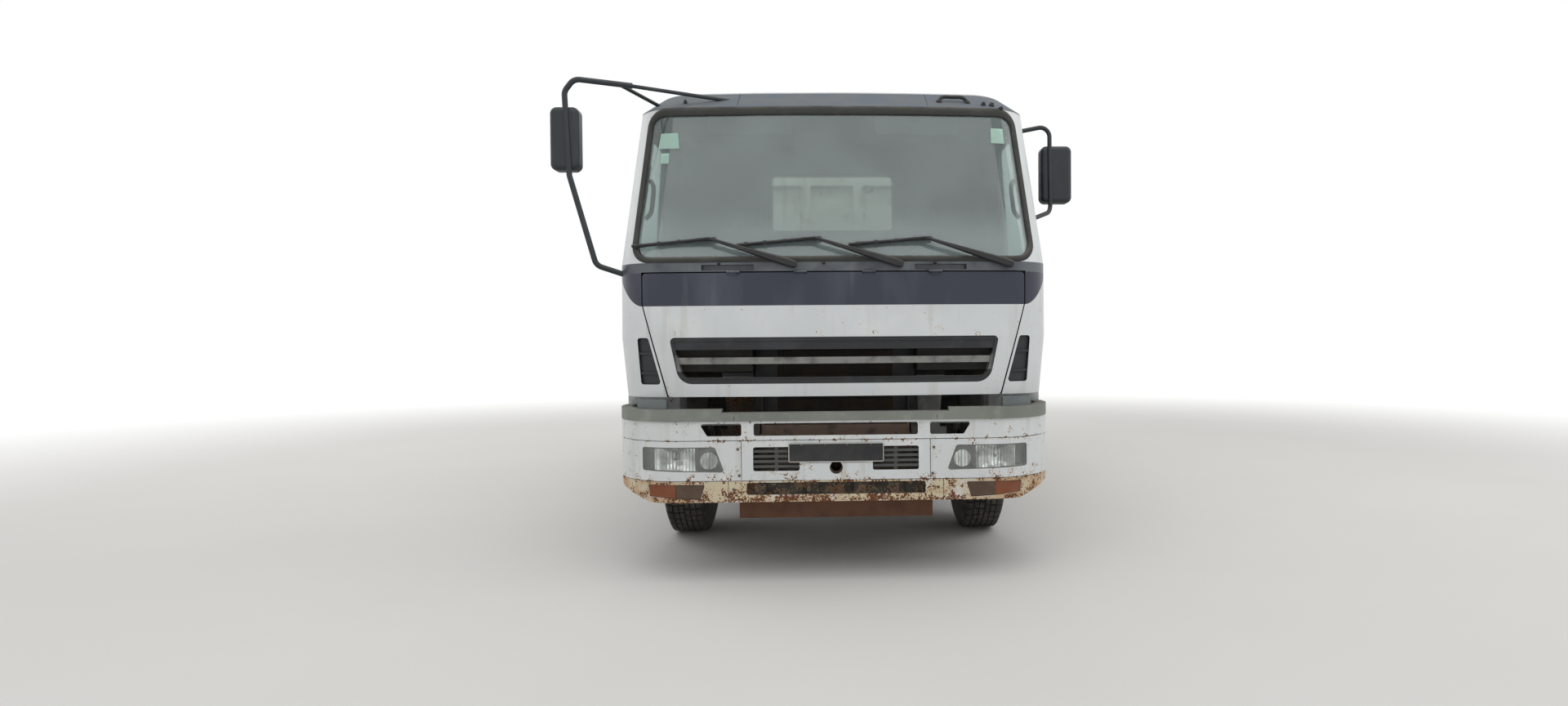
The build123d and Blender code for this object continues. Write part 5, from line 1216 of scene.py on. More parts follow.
LAMP_OUTLINE = ((611, 605), (1068, 616), (1068, 744), (664, 744))
LAMP_CORNER = 14
# wide reflector: x from, x to, z from, z to, inset, depth. round one: x, z, radius, inset, depth
MAIN_BOWL = (772, 996, 614, 738, 12, 34)
ROUND_BOWL = (697, 668, 47, 11, 44)
BOWL_STEPS = 18
BOWL_THICK = 2.5
BULB_INSET = 44
BULB_LENGTH = 26
# the lens: x from, x to, slopes of its lower edge and of its inner end
LENS_X = (616, 1063)
LENS_LOW = (611, 610, 11 / 457)
LENS_END = (666, 613, 2.45)
LENS_TOP = 739
LENS_STEPS = 150
LENS_INSET = 3
LENS_THICK = 4
FLUTE_PITCH = 9
FLUTE_DEPTH = 1.6


def bowl_rows(thick):
    """Rows of points of the wide reflector, which is deepest in its middle."""
    x0, x1, z0, z1, inset, depth = MAIN_BOWL
    steps = [-1 + 2 * i / BOWL_STEPS for i in range(BOWL_STEPS + 1)]
    rows = []
    for s in steps:
        x = x0 + (x1 - x0) * (s + 1) / 2
        rows.append([spot(x, bumper_station(x, inset) + depth * (1 - s ** 2) * (1 - t ** 2) + thick,
                          z0 + (z1 - z0) * (t + 1) / 2) for t in steps])
    return rows


class MakeHeadlamps(bpy.types.Operator):
    """Headlamps: a case with a wide reflector, a round one and a fluted lens"""

    bl_idname = "truck.make_headlamps"
    bl_label = "Headlamps"

    def execute(self, context):
        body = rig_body("headlamps")
        # tray with a rim, whose floor has the depth of the solid that it stands for
        outline = split_long(rounded(LAMP_OUTLINE, LAMP_CORNER, 5), 28)
        inner = shrunk(outline, 5)
        tray = Piece()
        tray.skin([bumper_ring(outline, 58), bumper_ring(outline, 4), bumper_ring(inner, 4),
                   bumper_ring(inner, 54)])
        tray.both_sides().made("headlamp_cases", body, "lamp_case", ["headlamps"])

        bowls = Piece()
        bowls.skin([row + back[::-1] for row, back in zip(bowl_rows(0), bowl_rows(BOWL_THICK))])
        cx, cz, radius, inset, depth = ROUND_BOWL
        face = bumper_station(cx, inset)
        cup = [(0.0, radius), (0.1, radius), (0.1, radius - 3), (0.35, radius - 9),
               (0.65, radius - 22), (0.8, radius - 36), (0.86, 6), (1.0, 6), (1.0, radius - 20),
               (0.35, radius)]
        bowls.turned(cup, spot(cx, face, cz), spot(cx, face + depth, cz), 32)
        bowls.both_sides().made("headlamp_bowls", body, "lamp_bowl")

        bulbs = Piece()
        x0, x1, z0, z1 = MAIN_BOWL[:4]
        for x, z in (((x0 + x1) / 2, (z0 + z1) / 2), (cx, cz)):
            face = bumper_station(x, BULB_INSET)
            bulbs.turned([(0, 7), (0.5, 7), (0.7, 5), (1, 2)], spot(x, face, z),
                         spot(x, face - BULB_LENGTH, z), 16)
        bulbs.block((760, 10, 612), (764, 52, 738), 1)
        bulbs.both_sides().made("headlamp_bulbs", body, "lamp_case")

        lens = Piece()
        rings = []
        for i in range(LENS_STEPS + 1):
            x = LENS_X[0] + (LENS_X[1] - LENS_X[0]) * i / LENS_STEPS
            low = LENS_LOW[1] + (x - LENS_LOW[0]) * LENS_LOW[2]
            high = LENS_TOP if x > LENS_END[0] else LENS_LOW[1] + (x - LENS_END[1]) * LENS_END[2]
            front, rear = bumper_station(x, LENS_INSET), bumper_station(x, LENS_INSET + LENS_THICK)
            if x0 < x < x1:
                rear += FLUTE_DEPTH * (0.5 + 0.5 * math.cos(2 * math.pi * x / FLUTE_PITCH))
            rings.append([spot(x, front, low), spot(x, front, high), spot(x, rear, high),
                          spot(x, rear, low)])
        lens.skin(rings)
        lens.both_sides().made("headlamp_lenses", body, "lamp_glass")
        return {"FINISHED"}


# number plate: half width, z from, z to
PLATE = (261, 658, 762)
HOLDER_PADS_X = (-170, 170)
PLATE_SCREWS_X = (-190, -60, 60, 190)
FOG_RECESS = ((745, 455), (1030, 470), (1036, 540), (718, 540))
FOG_SPLIT = 880
# columns: x, z of the screws in the bumper's face
BUMPER_SCREWS = ((538, 732), (531, 588), (562, 512), (120, 588), (62, 590))
SEAM_HALF = 1.5
SEAM_PROUD = 0.5
# upright seams: x, z from, z to. level ones: z
UPRIGHT_SEAMS = ((519, 562, 779), (591, 447, 556))
LEVEL_SEAMS = (779, 558)
LEVEL_SEAM_HALF = 1236
LEVEL_SEAM_STEPS = 80
PAD_SEAMS_X = (-556, 556)
PAD_SEAM_HEIGHTS = (890, 898, 906, 914)
# steel behind the bumper's lower opening: half width, z from, z to
STIFFENER = (600, 456, 566)
STIFFENER_FLANGES = (456, 560)
STIFFENER_PADS_X = (-420, -130, 130, 420)


class MakeBumperTrim(bpy.types.Operator):
    """Blank number plate, fog lamps, seams and screws in the bumper's face"""

    bl_idname = "truck.make_bumper_trim"
    bl_label = "Bumper trim"

    def execute(self, context):
        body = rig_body("front_bumper")
        half, low, high = PLATE
        outer = panel(-half, half, low, high, 8, 4)
        inner = shrunk(outer, 4)
        plate, rim, holder = Piece(), Piece(), Piece()
        plate.plate(outer, -8, -5.5, 0.5)
        plate.made("number_plate", body, "plate_black")
        rim.skin([ring_at(outer, -7.8), ring_at(outer, -9.5), ring_at(inner, -9.5),
                  ring_at(inner, -7.8)], closed=True)
        rim.made("number_plate_rim", body, "plate_rim")
        for x in HOLDER_PADS_X:
            holder.block((x - 26, -6, low + 14), (x + 26, 1, high - 14), 1)
        for x in PLATE_SCREWS_X:
            holder.rod((x, -8, high - 9), (x, -10.5, high - 9), 5, 12, 1)
        holder.made("number_plate_holder", body, "bolt_steel")

        recess = shrunk(rounded(FOG_RECESS, 8, 4), 1.5)
        for name, keep, look in (("fog_amber", 1, "amber_lens"), ("fog_dull", -1, "dull_lens")):
            lamp = Piece()
            lamp.plate(split_long(cut_outline(recess, FOG_SPLIT, keep), 22),
                       lambda x: bumper_station(x, 7), lambda x: bumper_station(x, 24), 1.5)
            lamp.both_sides().made(name, body, look)

        seams = Piece()
        for side in (-1, 1):
            for x, z0, z1 in UPRIGHT_SEAMS:
                seams.block((side * x - SEAM_HALF, -SEAM_PROUD, z0),
                            (side * x + SEAM_HALF, 1, z1), 0)
        for z in LEVEL_SEAMS:
            rows = []
            for i in range(LEVEL_SEAM_STEPS + 1):
                x = LEVEL_SEAM_HALF * (2 * i / LEVEL_SEAM_STEPS - 1)
                front = bumper_station(x, -0.6)
                rows.append([spot(x, front + a, z + b) for a, b in
                             ((0, -SEAM_HALF), (0, SEAM_HALF), (2, SEAM_HALF), (2, -SEAM_HALF))])
            seams.skin(rows)
        for x in PAD_SEAMS_X:
            seams.face_seam(x, PAD_SEAM_HEIGHTS, "bumper_trim", SEAM_HALF, 0.4, 2)
        seams.made("bumper_seams", body, "seam_dark")

        stiffener = Piece()
        half, low, high = STIFFENER
        stiffener.plate(panel(-half, half, low, high, 12, 3), 62, 66, 1)
        for z in STIFFENER_FLANGES:
            stiffener.block((-half, 64, z), (half, 98, z + 5), 1)
        for x in STIFFENER_PADS_X:
            stiffener.block((x - 34, 40, 470), (x + 34, 63, 552), 3)
        stiffener.made("bumper_stiffener", body, "rusty_steel")

        screws = Piece()
        for x, z in BUMPER_SCREWS:
            screws.rod((x, 1, z), (x, -3.5, z), 8, 16, 1.5)
            screws.rod((x, -2, z), (x, -4.5, z), 4, 6)
        screws.both_sides().made("bumper_screws", body, "bolt_steel")
        return {"FINISHED"}


# columns: x, z, distance of the handle's middle line from the panel
ROOF_HANDLE = ((640, 2752, 6), (660, 2760, 26), (720, 2762, 26), (780, 2760, 26), (812, 2750, 6))
# columns: x, z, radius
ROOF_MOUNTS = ((905, 2728, 15), (955, 2724, 18), (1004, 2700, 14), (-880, 2744, 12))
ROOF_SEAMS_X = (-564, 564)
ROOF_SEAM_HEIGHTS = [2710 + 124 * i / 12 for i in range(13)]


class MakeRoofTrim(bpy.types.Operator):
    """Grab handle, seams and small mounts on the panel over the windscreen"""

    bl_idname = "truck.make_roof_trim"
    bl_label = "Roof trim"

    def execute(self, context):
        handle, mounts, seams = Piece(), Piece(), Piece()
        points = []
        for x, z, lift in ROOF_HANDLE:
            here, normal = face_ahead(x, z, "cab_shell")
            points.append(here + normal * lift * MM)
        handle.tube(curved(points, 5), 11)
        for x, z, _ in (ROOF_HANDLE[0], ROOF_HANDLE[-1]):
            handle.knob(x, z, [(0, 20), (0.6, 18), (1, 12)], 14, 20)
        for x, z, radius in ROOF_MOUNTS:
            mounts.knob(x, z, [(0, radius), (0.5, radius * 0.9), (1, radius * 0.5)], 22, 16)
        for x in ROOF_SEAMS_X:
            seams.face_seam(x, ROOF_SEAM_HEIGHTS, "cab_shell", 1.6, 0.6, 3)
        handle.made("roof_handle", "cab", "grab_black")
        mounts.made("roof_mounts", "cab", "grab_black")
        seams.made("roof_seams", "cab", "seam_dark")
        return {"FINISHED"}


# recess of a door handle: station from, station to, z from, z to, radius of its corners
HANDLE_RECESS = (1120, 1280, 1648, 1722, 14)
# its edges. columns: out from the door, growth of the outline
HANDLE_RINGS = ((-2, 0), (4, 0), (6, -4), (2, -16))
# columns: station, out from the door
HANDLE_GRIP = ((1136, 2), (1146, 12), (1200, 16), (1254, 12), (1264, 2))
# columns: node, x from, x to, z from, z to, station
MIRROR_GLASSES = (("mirror_right", -1600, -1456, 2312, 2648, 328),
                  ("mirror_left", 1359, 1539, 2212, 2556, 938))
# rear window: half width, z from, z to, radius of its corners
REAR_WINDOW = (469, 2138, 2572, 44)
# its rubber. columns: station, how far inside its outline
REAR_RUBBER = ((1941, 14), (1950, 12), (1956, 4), (1956, -8), (1951, -16), (1946, -16), (1941, -2))


class MakeDoorTrim(bpy.types.Operator):
    """Door handles, mirror glasses and the rear window's rubber"""

    bl_idname = "truck.make_door_trim"
    bl_label = "Doors and mirrors"

    def execute(self, context):
        for word, side in SIDES:
            node = f"door_{word}"
            handle = Piece()
            rings = []
            u0, u1, z0, z1, radius = HANDLE_RECESS
            for lift, grow in HANDLE_RINGS:
                outline = panel(u0 - grow, u1 + grow, z0 - grow, z1 + grow, radius + grow * 0.5, 4)
                rings.append([spot(side * (face_beside(side, u, z, node) + lift), u, z)
                              for u, z in outline])
            handle.skin(rings)
            out = face_beside(side, 1200, 1690, node)
            grip = [spot(side * (out + lift), u, 1694) for u, lift in HANDLE_GRIP]
            handle.tube(curved(grip, 4), 8)
            handle.rod((side * (out - 1), 1292, 1640), (side * (out + 3), 1292, 1640), 11, soft=1)
            handle.made(f"door_handle_{word}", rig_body(node), "grab_black")

        for node, x0, x1, z0, z1, station in MIRROR_GLASSES:
            glass = Piece()
            glass.plate(panel(x0, x1, z0, z1, 30, 5), station, station + 3.5)
            glass.made(node.replace("mirror", "mirror_glass"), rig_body(node), "mirror_glass")

        rubber = Piece()
        half, low, high, radius = REAR_WINDOW
        outline = panel(-half, half, low, high, radius, 6)
        rubber.skin([ring_at(shrunk(outline, inside), station) for station, inside in REAR_RUBBER],
                    closed=True)
        rubber.made("rear_window_rubber", "cab", "screen_rubber")
        return {"FINISHED"}


# Cab inside

SEAT_X = 640
BACK_FACING = (0, -0.975, 0.22)
# columns: part, start, end, facing, half width, thickness, pull of the sides, fill
SEAT_PADS = (
    ("cushion", (1080, 1500), (1560, 1500), (0, 0, 1), 236, 112, 26, 0.7),
    ("back", (1548, 1600), (1668, 2132), BACK_FACING, 228, 84, 24, 0.7),
    ("head", (1694, 2150), (1726, 2284), BACK_FACING, 118, 54, 18, 0.8),
)
PAD_STEPS = 12
PAD_SIDES = 24
PAD_END = 0.08
CHANNEL_DEPTH = 9


def add_pad(piece, start, end, facing, half, thick, pull):
    """A stuffed pad from start to end. It swells in the middle and its sides pull in."""
    a, b = spot(*start), spot(*end)
    lift = Vector(facing).normalized()
    rings = []
    for i in range(PAD_STEPS + 1):
        s = -1 + 2 * i / PAD_STEPS
        full = max((1 - abs(s) ** 6) ** 0.5, PAD_END)
        swell = math.cos(math.pi * s / 2)
        waist = half - pull * 0.35 * swell if abs(s) < 0.95 else half - pull
        ring = []
        for v, c in circle(PAD_SIDES, 1):
            x = math.copysign(abs(c) ** 0.45, c) * waist
            z = math.copysign(abs(v) ** 0.7, v) * thick / 2 * full
            z *= 1 + 0.16 * swell * math.cos(x / half * math.pi / 2)
            if v > 0.3 and abs(abs(x) - half * 0.62) < half * 0.1:
                z -= CHANNEL_DEPTH
            ring.append(a.lerp(b, (s + 1) / 2)
                        + (Vector((x, 0, 0)) + lift * (z + thick / 2)) * MM)
        rings.append(ring)
    piece.skin(rings)


class MakeSeats(bpy.types.Operator):
    """Seats with crowned cushions, piped seams and separate headrests"""

    bl_idname = "truck.make_seats"
    bl_label = "Seats"

    def execute(self, context):
        for word, side in SIDES:
            x = side * SEAT_X
            for part, start, end, facing, half, thick, pull, fill in SEAT_PADS:
                pad = Piece()
                add_pad(pad, (x, *start), (x, *end), facing, half, thick, pull)
                stands_for = ["seats"] if part == "cushion" else []
                made = pad.made(f"seat_{part}_{word}", "cab", "seat_cloth", stands_for, smoother=1)
                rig.padded(made, fill=fill)
            base = Piece()
            base.block((x - 130, 1180, 1211), (x + 130, 1500, 1484), 14, 3)
            base.block((x - 215, 1120, 1478), (x + 215, 1540, 1506), 8, 3)
            for rod_x in (x - 55, x + 55):
                base.rod((rod_x, 1690, 2096), (rod_x, 1710, 2180), 6)
            base.made(f"seat_base_{word}", "cab", "wheel_plastic")
        return {"FINISHED"}


OUTLETS_X = (-900, -560, -60, 60, 980)
OUTLET_SLATS = range(1728, 1764, 9)
SWITCHES_X = range(-150, 126, 46)
# columns: across, station, height
PILLAR_HANDLE = ((1090, 330, 2030), (1060, 336, 2070), (1052, 352, 2140), (1050, 372, 2220),
                 (1070, 384, 2262))
# blank stickers on the windscreen. columns: x from, x to, z from, z to, narrowing of the top
STICKERS = ((-1020, -895, 2442, 2540, 12), (-1002, -952, 2350, 2414, 0), (930, 1012, 2476, 2572, 4))
STICKER_PROUD = (1.2, 0.4)
STICKER_COLUMNS = 8
STICKER_ROWS = 6


class MakeCabInside(bpy.types.Operator):
    """Instrument hood, air outlets, pillar handles, sun visors and blank stickers"""

    bl_idname = "truck.make_cab_inside"
    bl_label = "Cab inside"

    def execute(self, context):
        hood, grabs, visors, stickers = Piece(), Piece(), Piece(), Piece()
        outline = rounded(((430, 1760), (820, 1760), (800, 1836), (450, 1836)), 26, 5)
        hood.plate(outline, 300, 452, 10)
        for x in OUTLETS_X:
            hood.block((x - 55, 470, 1722), (x + 55, 512, 1764), 6)
            for z in OUTLET_SLATS:
                hood.block((x - 48, 508, z), (x + 48, 520, z + 4), 1)
        for x in SWITCHES_X:
            hood.block((x, 556, 1620), (x + 30, 566, 1646), 3)
        hood.block((-170, 552, 1560), (130, 562, 1604), 5)
        hood.made("dash_details", "cab", "wheel_plastic")

        for side in (-1, 1):
            grabs.tube(curved([spot(side * x, u, z) for x, u, z in PILLAR_HANDLE], 5), 13)
            visors.plate(panel(side * 250, side * 760, 2560, 2680, 30, 5), 520, 540, 5)
        grabs.made("pillar_handles", "cab", "grab_black")
        visors.made("sun_visors", "cab", "cab_lining")

        for x0, x1, z0, z1, narrowing in STICKERS:
            columns = []
            for i in range(STICKER_COLUMNS + 1):
                low_x = x0 + (x1 - x0) * i / STICKER_COLUMNS
                top_x = x0 + narrowing + (x1 - x0 - 2 * narrowing) * i / STICKER_COLUMNS
                faces = [face_ahead(low_x + (top_x - low_x) * k / STICKER_ROWS,
                                    z0 + (z1 - z0) * k / STICKER_ROWS, "cab_glass")
                         for k in range(STICKER_ROWS + 1)]
                outer, inner = ([here + normal * proud * MM for here, normal in faces]
                                for proud in STICKER_PROUD)
                columns.append(outer + inner[::-1])
            stickers.skin(columns)
        stickers.made("screen_stickers", "cab", "sticker")
        return {"FINISHED"}


# Chassis, tanks and bed

RAIL_X = 425
RAIL_BOLT_STATIONS = range(420, 7300, 190)
RAIL_BOLT_HEIGHTS = (800, 985)
STRAP_STATIONS = (2700, 3260)
STRAP_HALF = 30
LATCH_STATIONS = (2560, 3000)
# spring bows. columns: across, station, half width, z from, z to
BOWS = ((380, FRONT_AXLE_AT, 52, 478, 724), (515, TRUNNION_AT, 54, 560, 812))
BOW_SPACING = 62
STEP_HEIGHTS = (490, 750)
STEP_RIDGES = range(510, 741, 33)
FLAP_RIBS = range(470, 820, 70)
FLAP_BOLTS_X = (700, 925, 1150)
# bars of the tail lamps' rims: the upright ones across, the level ones by height
RIM_BARS_X = (812, 946)
RIM_BARS_Z = (592, 693)
LOUVRES = range(2424, 2600, 22)
DUCT_RIBS = (1300, 1560, 1820, 2080)
FUEL_CAP = (995, 2640)
CAP_RIBS = 12
CAP_RIB_CIRCLE = 48


class MakeChassisTrim(bpy.types.Operator):
    """Bolts along the rails, spring U-bolts, tank straps, cap and box latches"""

    bl_idname = "truck.make_chassis_trim"
    bl_label = "Chassis trim"

    def execute(self, context):
        bolts, shroud, bows, treads, flaps, rims = (Piece() for _ in range(6))
        for side in (-1, 1):
            for station in RAIL_BOLT_STATIONS:
                for z in RAIL_BOLT_HEIGHTS:
                    bolts.hexagon((side * RAIL_X, station, z), (side, 0, 0), 22, 12)

            shroud.block((side * 334, 300, 850), (side * 462, 306, 1426), 1)
            shroud.block((side * 340, 306, 850), (side * 346, 470, 1426), 1)

            for x, middle, half, low, high in BOWS:
                for station in (middle - BOW_SPACING, middle + BOW_SPACING):
                    bend = ((-half, low), (-half, high - 20), (-half + 6, high - 5),
                            (-half + 22, high), (half - 22, high), (half - 6, high - 5),
                            (half, high - 20), (half, low))
                    bows.tube([spot(side * x + d, station, z) for d, z in bend], 9)
                    for d in (-half, half):
                        bows.hexagon((side * x + d, station, low + 26), (0, 0, -1), 30, 22)

            for z in STEP_HEIGHTS:
                for station in STEP_RIDGES:
                    treads.block((side * 1048, station, z - 1), (side * 1226, station + 10, z + 5),
                                 1.5)

            for z in FLAP_RIBS:
                flaps.block((side * 640, 7200, z), (side * 1210, 7212, z + 12), 2)
            for x in FLAP_BOLTS_X:
                flaps.hexagon((side * x, 7209, 900), (0, 1, 0), 22, 8)

            for x in RIM_BARS_X:
                rims.block((side * x - 2, 7390, 596), (side * x + 2, 7398, 694), 0.5)
            for z in RIM_BARS_Z:
                rims.block((side * 704, 7389, z), (side * 1056, 7398, z + 5), 1)
        bolts.made("rail_bolts", "chassis", "bolt_steel")

        straps = Piece()
        outer = panel(478, 1191, 520, 1020, 60, 6)
        inner = shrunk(outer, 4)
        for station in STRAP_STATIONS:
            front, rear = station - STRAP_HALF, station + STRAP_HALF
            straps.skin([ring_at(outer, front), ring_at(outer, rear), ring_at(inner, rear),
                         ring_at(inner, front)], closed=True)
        straps.made("tank_straps", "chassis", "bolt_steel")

        latches = Piece()
        for station in LATCH_STATIONS:
            latches.block((-1152, station - 22, 900), (-1143, station + 22, 990), 3)
            latches.block((-1160, station - 9, 915), (-1150, station + 9, 975), 3)
        latches.made("box_latches", "chassis", "bolt_steel")
        shroud.made("radiator_shroud", "chassis", "box_steel")
        bows.made("spring_bows", "chassis", "bolt_steel")
        treads.made("step_treads", "chassis", "bolt_steel")

        louvres = Piece()
        for i, z in enumerate(LOUVRES):
            louvres.block((1068, 2060 + i * 2, z), (1086, 2290 - i * 3, z + 7), 1)
            louvres.block((830, 2022 + i * 5, z), (1050, 2036 + i * 5, z + 7), 1)
        for z in DUCT_RIBS:
            louvres.block((816, 2036, z), (1064, 2284, z + 26), 3)
        louvres.made("intake_louvres", "chassis", "intake_plastic")

        cap = Piece()
        x, u = FUEL_CAP
        cap.turned([(0, 50), (0.6, 50), (0.7, 44), (1.0, 42)], spot(x, u, 1040), spot(x, u, 1062),
                   24, 1)
        for a, b in circle(CAP_RIBS, CAP_RIB_CIRCLE):
            cap.rod((x + b, u + a, 1042), (x + b, u + a, 1058), 4, 8)
        cap.made("fuel_cap", "chassis", "seam_dark")
        flaps.made("mud_flap_ribs", "chassis", "rear_guard_plastic")
        rims.made("tail_lamp_rims", "chassis", "seam_dark")
        return {"FINISHED"}


SHEET_HOOKS = range(2700, 7181, 560)
# columns: across, height
SHEET_HOOK = ((1240, 2296), (1256, 2290), (1262, 2268), (1256, 2244), (1268, 2230))
GATE_LATCH_X = 1010
# columns: station, height
GATE_HOOK = ((7528, 1340), (7556, 1320), (7624, 1322), (7642, 1346), (7642, 1394))
BED_FRONT_AT = 2440
BED_REAR_AT = 7555
POST_COUNT = 8
POST_WIDTH = 90
WELD_X = 1178
WELD_LOW = 1440
WELD_STEPS = 14
WELD_PITCH = 64
# a weld bead runs off its post's edge by this much in all, and sways by this much
WELD_LEAN = 8
WELD_SWAY = 1.2


class MakeBedTrim(bpy.types.Operator):
    """Sheet hooks along the bed's sides, weld beads, and the tailgate's latches and pin caps"""

    bl_idname = "truck.make_bed_trim"
    bl_label = "Bed trim"

    def execute(self, context):
        bed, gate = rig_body("dump_bed"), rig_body("tailgate")
        hooks, latches, pins, welds = Piece(), Piece(), Piece(), Piece()
        pitch = (BED_REAR_AT - BED_FRONT_AT - POST_WIDTH) / (POST_COUNT - 1)
        for side in (-1, 1):
            for station in SHEET_HOOKS:
                hooks.tube(curved([spot(side * x, station, z) for x, z in SHEET_HOOK], 3), 5, 8)

            x = side * GATE_LATCH_X
            latches.block((x - 22, 7500, 1360), (x + 22, 7556, 1420), 4)
            latches.rod((x - 30, 7528, 1352), (x + 30, 7528, 1352), 16)
            latches.tube(curved([spot(x, u, z) for u, z in GATE_HOOK], 4), 7)

            pins.rod((side * 1236, 7590, 2440), (side * 1243, 7590, 2440), 30, 20, 1)
            pins.rod((side * 1225, 7590, 2474), (side * 1225, 7590, 2480), 7, 12)

            for i in range(POST_COUNT):
                for edge, lean in ((0, WELD_LEAN), (POST_WIDTH, -WELD_LEAN)):
                    station = BED_FRONT_AT + i * pitch + edge
                    line = [spot(side * WELD_X,
                                 station + lean * k / WELD_STEPS
                                 + (WELD_SWAY if k % 2 else -WELD_SWAY),
                                 WELD_LOW + k * WELD_PITCH) for k in range(WELD_STEPS)]
                    welds.tube(line, 4.5, 6)
        hooks.made("sheet_hooks", bed, "bolt_steel")
        latches.made("gate_latches", bed, "bolt_steel")
        pins.made("gate_pin_caps", gate, "bolt_steel")
        welds.made("bed_welds", bed, "bed_paint")
        return {"FINISHED"}


# Stage

CAMERA_PLACE = (-35, -4815, 1349)
CAMERA_PITCH = 1.139
CAMERA_YAW = 1.932
CAMERA_ROLL = -0.430
CAMERA_SHIFT = -0.0476
# soft lamps. columns: place, aim, width in metres, power in watts
SOFTBOXES = (
    ((0, -7.5, 9), (0, -2, 1), 8, 230),
    ((8, -3, 7), (0, 0, 1.2), 6, 150),
    ((-8, 2, 7), (0, 0, 1.2), 6, 150),
    ((0, 10, 7), (0, 2, 1.2), 7, 180),
)
FLOOR_REACH = 60
# the floor starts to fade to the white background, and is white, this far from the middle
FLOOR_FADE = (6.0, 15.0)
# strength of the even light, and of the background where it is seen
WORLD_LIGHT = 0.6
WORLD_SEEN = 1.0


class MakeStage(bpy.types.Operator):
    """Floor, soft studio light and the camera at the photograph's place"""

    bl_idname = "truck.make_stage"
    bl_label = "Stage"

    def execute(self, context):
        scene = context.scene
        scene.view_settings.view_transform = "Standard"
        make_floor(scene)
        make_world(scene)
        for place, aim, width, watts in SOFTBOXES:
            softbox(scene, place, aim, width, watts)
        make_camera(scene)
        return {"FINISHED"}


def make_floor(scene):
    """A wide pale floor that fades to the background."""
    mesh = bpy.data.meshes.new("floor")
    far = FLOOR_REACH
    mesh.from_pydata([(-far, -far, 0), (far, -far, 0), (far, far, 0), (-far, far, 0)], [],
                     [(0, 1, 2, 3)])
    floor = bpy.data.objects.new("floor", mesh)
    scene.collection.objects.link(floor)
    f = Finish("studio_floor", srgb(222, 221, 218), 0.9)
    f.over(srgb(214, 212, 207), f.cloud(0.7, 5, 0.3, 0.7, 0.2))
    length = f.node("VectorMath", {0: f.place["Object"]}, operation="LENGTH")["Value"]
    faded = f.over(srgb(255, 255, 255), f.step(length, *FLOOR_FADE))
    f.put(f.shader.inputs["Emission Strength"], faded)
    f.shader.inputs["Emission Color"].default_value = (0.4, 0.4, 0.4, 1)
    mesh.materials.append(f.done())
    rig.stage(floor)


def make_world(scene):
    """An even light, with a white background for the camera, gloss and glass."""
    world = bpy.data.worlds.new("studio")
    scene.world = world
    world.use_nodes = True
    nodes, links = world.node_tree.nodes, world.node_tree.links
    back = nodes["Background"]
    back.inputs["Color"].default_value = (1, 1, 1, 1)
    path = nodes.new("ShaderNodeLightPath")
    seen = path.outputs["Is Camera Ray"]
    for ray in ("Is Glossy Ray", "Is Transmission Ray"):
        either = nodes.new("ShaderNodeMath")
        either.operation = "MAXIMUM"
        links.new(seen, either.inputs[0])
        links.new(path.outputs[ray], either.inputs[1])
        seen = either.outputs[0]
    shown = nodes.new("ShaderNodeMapRange")
    shown.inputs["To Min"].default_value = WORLD_LIGHT
    shown.inputs["To Max"].default_value = WORLD_SEEN
    links.new(seen, shown.inputs["Value"])
    links.new(shown.outputs["Result"], back.inputs["Strength"])


def softbox(scene, place, aim, width, watts):
    """A square soft lamp aimed at a point. Places are in metres."""
    data = bpy.data.lights.new("softbox", "AREA")
    data.energy = watts
    data.size = width
    obj = bpy.data.objects.new("softbox", data)
    obj.location = place
    obj.rotation_euler = (Vector(aim) - Vector(place)).to_track_quat("-Z", "Y").to_euler()
    scene.collection.objects.link(obj)


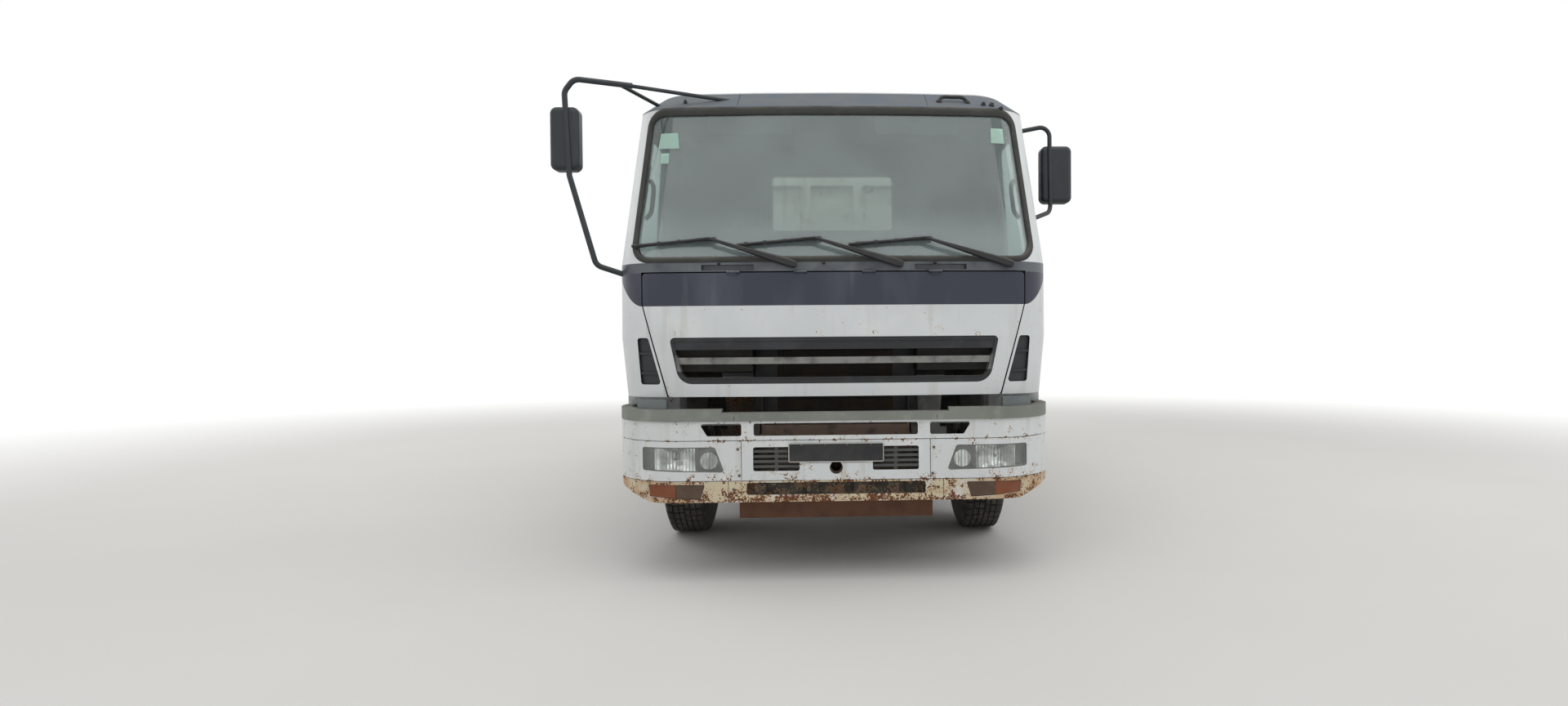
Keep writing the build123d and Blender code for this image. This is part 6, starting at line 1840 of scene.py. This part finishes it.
def make_camera(scene):
    """The camera at the place that the photograph was taken from."""
    data = bpy.data.cameras.new("camera")
    data.sensor_width = 36
    data.lens = scene.truck_sizes.lens
    data.shift_x = CAMERA_SHIFT
    data.clip_start = 0.05
    data.clip_end = 300
    obj = bpy.data.objects.new("camera", data)
    turn = (Matrix.Rotation(math.radians(-CAMERA_YAW), 3, "Z")
            @ Matrix.Rotation(math.radians(90 - CAMERA_PITCH), 3, "X")
            @ Matrix.Rotation(math.radians(CAMERA_ROLL), 3, "Z"))
    obj.matrix_world = Matrix.Translation(spot(*CAMERA_PLACE)) @ turn.to_4x4()
    scene.collection.objects.link(obj)
    scene.camera = obj


OPERATORS = (PaintFrame, MakeTyres, MakeWheelNuts, MakeScreenRubber, MakeWipers, MakeHeadlamps,
             MakeBumperTrim, MakeRoofTrim, MakeDoorTrim, MakeSeats, MakeCabInside,
             MakeChassisTrim, MakeBedTrim, MakeStage)


class TruckPanel(bpy.types.Panel):
    """Lists the truck's pieces in the 3D view's sidebar"""

    bl_idname = "VIEW3D_PT_dump_truck"
    bl_label = "Dump truck"
    bl_space_type = "VIEW_3D"
    bl_region_type = "UI"
    bl_category = "Dump truck"

    def draw(self, context):
        for group in (context.scene.truck_colours, context.scene.truck_sizes):
            for name in group.__annotations__:
                self.layout.prop(group, name)
        for operator in OPERATORS:
            self.layout.operator(operator.bl_idname)


CLASSES = (TruckColours, TruckSizes, *OPERATORS, TruckPanel)


def register():
    for kind in CLASSES:
        bpy.utils.register_class(kind)
    bpy.types.Scene.truck_colours = PointerProperty(type=TruckColours)
    bpy.types.Scene.truck_sizes = PointerProperty(type=TruckSizes)


def unregister():
    del bpy.types.Scene.truck_sizes
    del bpy.types.Scene.truck_colours
    for kind in reversed(CLASSES):
        bpy.utils.unregister_class(kind)


def main():
    """Dresses the truck and writes the sizes of both models."""
    register()
    for operator in OPERATORS:
        group, name = operator.bl_idname.split(".")
        getattr(getattr(bpy.ops, group), name)()
    low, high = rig.bounds()
    with open(SIZE_FILE, "w") as out:
        json.dump({"cad": [list(CAD_LOW), list(CAD_HIGH)], "visual": [list(low), list(high)]}, out)


if __name__ == "__main__":
    main()
